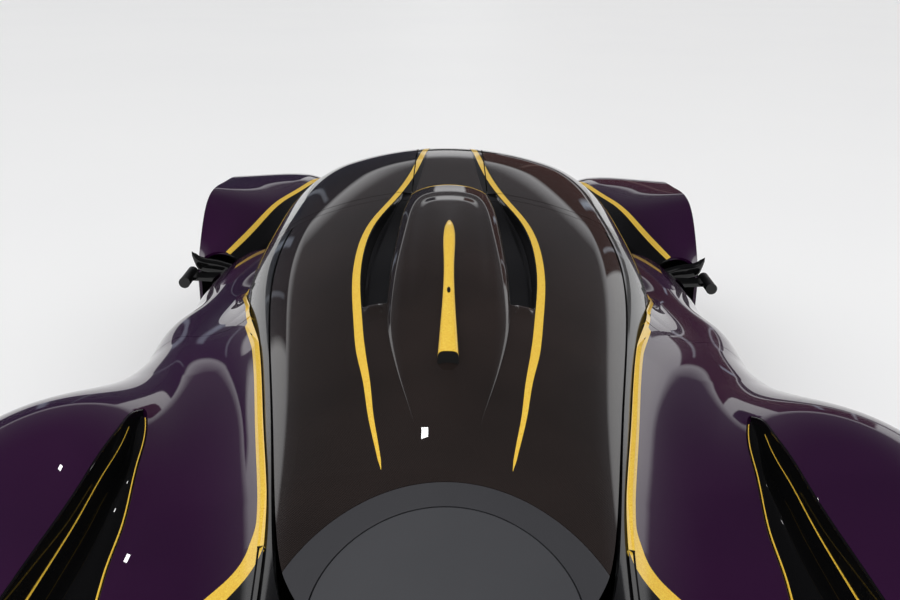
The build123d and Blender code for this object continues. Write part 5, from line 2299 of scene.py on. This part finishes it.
@dataclass(frozen=True)
class Screen:
    """A dark or tinted screen round the studio, seen only in gloss.

    Across is the sine of its bearing from straight ahead, height the sine of its elevation. Ahead is 1 for a
    screen in front of the camera and -1 for one behind it.
    """

    across: Pair
    height: Pair
    colour: Colour
    ahead: float = 1.0
    soft: float = 0.012

    def band(self, value: Socket, limits: Pair) -> Socket:
        """One between two limits, with soft edges."""
        steep = 1.0 / self.soft
        return ((value - limits[0]) * steep).clamped() * ((limits[1] - value) * steep).clamped()

    def share(self, side: Socket, ahead: Socket, up: Socket) -> Socket:
        """One where the screen is seen."""
        facing = ((ahead * self.ahead) * 8.0).clamped()
        return self.band(side, self.across) * self.band(up, self.height) * facing


@dataclass
class Studio:
    """Plain pale floor, soft light and the camera."""

    eye: Triple = (-0.004, -3.45, 1.90)
    yaw: float = -0.0032
    pitch: float = 20.0
    roll: float = 0.75
    lens: float = 40.0
    sensor: float = 36.0
    pale: Colour = rgb(0.94, 0.94, 0.95)
    bright: Colour = rgb(0.97, 0.97, 0.97)
    floor_size: float = 80.0
    soft_light: float = 1.02
    walls: tuple[tuple[float, Colour], ...] = (
        (0.00, rgb(0.80, 0.80, 0.82)), (0.16, rgb(1.0, 1.0, 1.0)), (0.225, rgb(0.95, 0.95, 0.97)),
        (0.275, rgb(0.10, 0.10, 0.11)), (0.60, rgb(0.035, 0.035, 0.040)), (1.00, rgb(0.05, 0.05, 0.055)),
    )
    lamps: tuple[SmallLamp, ...] = (
        SmallLamp("key", (-1.6, -2.2, 4.2), (2.4, 2.4), 30.0, (-30.0, -22.0, 0.0)),
        SmallLamp("drop", (-.47, 1.71, 4.65), (.14, .11), 1.2, (-45.0, 0.0, 0.0)),
    )
    screens: tuple[Screen, ...] = (
        Screen((-.09, .09), (-.30, .075), rgb(.015, .014, .016)),
        Screen((-.62, -.050), (-.30, .235), rgb(.012, .016, .030)),
        Screen((-.56, -.545), (-.20, .20), rgb(.60, .66, .78)),
        Screen((-.44, -.40), (-.05, .16), rgb(.30, .34, .42)),
        Screen((-.30, -.285), (-.10, .22), rgb(.55, .60, .70)),
        Screen((.055, .50), (.03, .235), rgb(.060, .022, .020)),
        Screen((.16, .17), (.05, .20), rgb(.80, .55, .50)),
        Screen((.30, .33), (.03, .15), rgb(.50, .55, .65)),
        Screen((.08, .60), (-.20, .03), rgb(.035, .030, .034)),
        Screen((.42, .44), (-.10, .20), rgb(.70, .72, .80)),
        Screen((-.85, -.10), (-.30, .30), rgb(.03, .03, .035), ahead=-1.0),
        Screen((.20, .70), (-.30, .30), rgb(.03, .03, .035), ahead=-1.0),
    )

    def camera(self) -> None:
        """Set the camera where the photograph was taken from."""
        lens = bpy.data.cameras.new("eye")
        lens.lens = self.lens
        lens.sensor_width = self.sensor
        camera = bpy.data.objects.new("eye", lens)
        turn = Matrix.Rotation(self.yaw, 3, "Z") @ Matrix.Rotation(math.radians(90.0 - self.pitch), 3, "X")
        camera.rotation_euler = (turn @ Matrix.Rotation(math.radians(self.roll), 3, "Z")).to_euler()
        camera.location = self.eye
        bpy.context.scene.collection.objects.link(camera)
        bpy.context.scene.camera = camera

    def floor(self) -> None:
        """Lay the pale floor."""
        bpy.ops.mesh.primitive_plane_add(size=self.floor_size, location=(0.0, 0.0, 0.0))
        floor = bpy.context.object
        floor.name = "studio_floor"
        board = Board.material("studio_floor")
        colour = board.mixed(board.noise(board.place(), 0.4), self.pale, self.bright)
        floor.data.materials.append(board.finish(Base_Color=colour, Roughness=0.5))

    def world(self) -> None:
        """White for the camera, soft for light, and bright walls under a dark ceiling for gloss."""
        board = Board.world("studio")
        direction = board.node("ShaderNodeTexCoord", {}, {}, "Generated")
        right, ahead, up = (
            board.along(direction, way) for way in ((1.0, 0.0, 0.0), (0.0, 1.0, 0.0), (0.0, 0.0, 1.0))
        )
        side = right / (right * right + ahead * ahead) ** 0.5
        walls = board.node("ShaderNodeValToRGB", {"stops": self.walls}, {0: up}, "Color")
        for screen in self.screens:
            walls = board.mixed(screen.share(side, ahead, up), walls, screen.colour)
        white = rgb(1.0, 1.0, 1.0)
        soft = board.background(white, self.soft_light)
        lit = board.node(
            "ShaderNodeMixShader", {}, {0: board.ray("Is Glossy Ray"), 1: soft, 2: board.background(walls)}
        )
        seen = board.node(
            "ShaderNodeMixShader", {}, {0: board.ray("Is Camera Ray"), 1: lit, 2: board.background(white)}
        )
        board.node("ShaderNodeOutputWorld", {}, {"Surface": seen})
        bpy.context.scene.world = board.owner

    def light(self, lamp: SmallLamp) -> None:
        """Hang one lamp.

        Args:
            lamp: its place, size and power.
        """
        light = bpy.data.lights.new(lamp.name, "AREA")
        light.shape = "RECTANGLE"
        light.size, light.size_y = lamp.size
        light.energy = lamp.power
        thing = bpy.data.objects.new(lamp.name, light)
        thing.location = lamp.place
        thing.rotation_euler = tuple(math.radians(a) for a in lamp.turn)
        bpy.context.scene.collection.objects.link(thing)

    def build(self) -> None:
        """Set the stage."""
        bpy.context.scene.view_settings.view_transform = "Standard"
        self.camera()
        self.floor()
        self.world()
        for lamp in self.lamps:
            self.light(lamp)


@dataclass
class FrameFinishes:
    """Finishes of the pieces that stay as the frame has them."""

    paint: Palette

    def build(self, frame: dict) -> None:
        """Dress every node.
        """
        paint = self.paint
        by_finish = (
            (paint.tyre, "tyre"), (paint.wheel, "rim"), (paint.disc, "brake_disc"),
            (paint.alloy, "knuckle wishbones drive_shafts"), (paint.matt_carbon, "engine_bay"),
            (paint.carbon, "engine_cover"), (paint.alloy, "engine gearbox"), (paint.matt_carbon, "seats"),
            (paint.cloth, "dashboard steering_wheel"), (paint.exhaust, "exhausts"),
            (paint.lamp, "headlamps"), (paint.red, "tail_lamps"), (paint.carbon, "nose"),
            (paint.gloss_black, "camera"), (paint.glass, "windscreen glass"), (paint.carbon, "door"),
            (paint.gold, "spine_pod"), (paint.shield_ring, "heat_shield"),
            (paint.purple, "fender quarter pod"), (paint.mesh, "tail_panel"),
        )
        for name, thing in frame["nodes"].items():
            chosen = next(
                (finish for finish, words in by_finish if any(word in name for word in words.split())),
                paint.matt_carbon,
            )
            for spot in thing.material_slots:
                spot.material = chosen
            LOG.info("%s: %s", name, chosen.name)


def main() -> None:
    """Build the car's looks around the frame."""
    logging.basicConfig(level=logging.INFO, format="%(name)s %(message)s")
    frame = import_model()
    paint = Palette()
    FrameFinishes(paint).build(frame)
    maker = Maker()
    body = CentreBody()
    house = Greenhouse(maker, paint, body, Cutlines(), RoofForms(body))
    fenders = Fenders(maker, paint, body)
    house.build()
    EngineCover(maker, paint, house).build()
    fenders.build()
    Stripes(maker, paint, house, fenders).build()
    for corner in Corner:
        Wheel(maker, paint, corner).build()
    Cabin(maker, paint).build()
    Studio().build()
    bpy.context.view_layer.update()
    LOG.info("%d pieces, %d triangles", maker.count, maker.triangles)


if __name__ == "__main__":
    main()
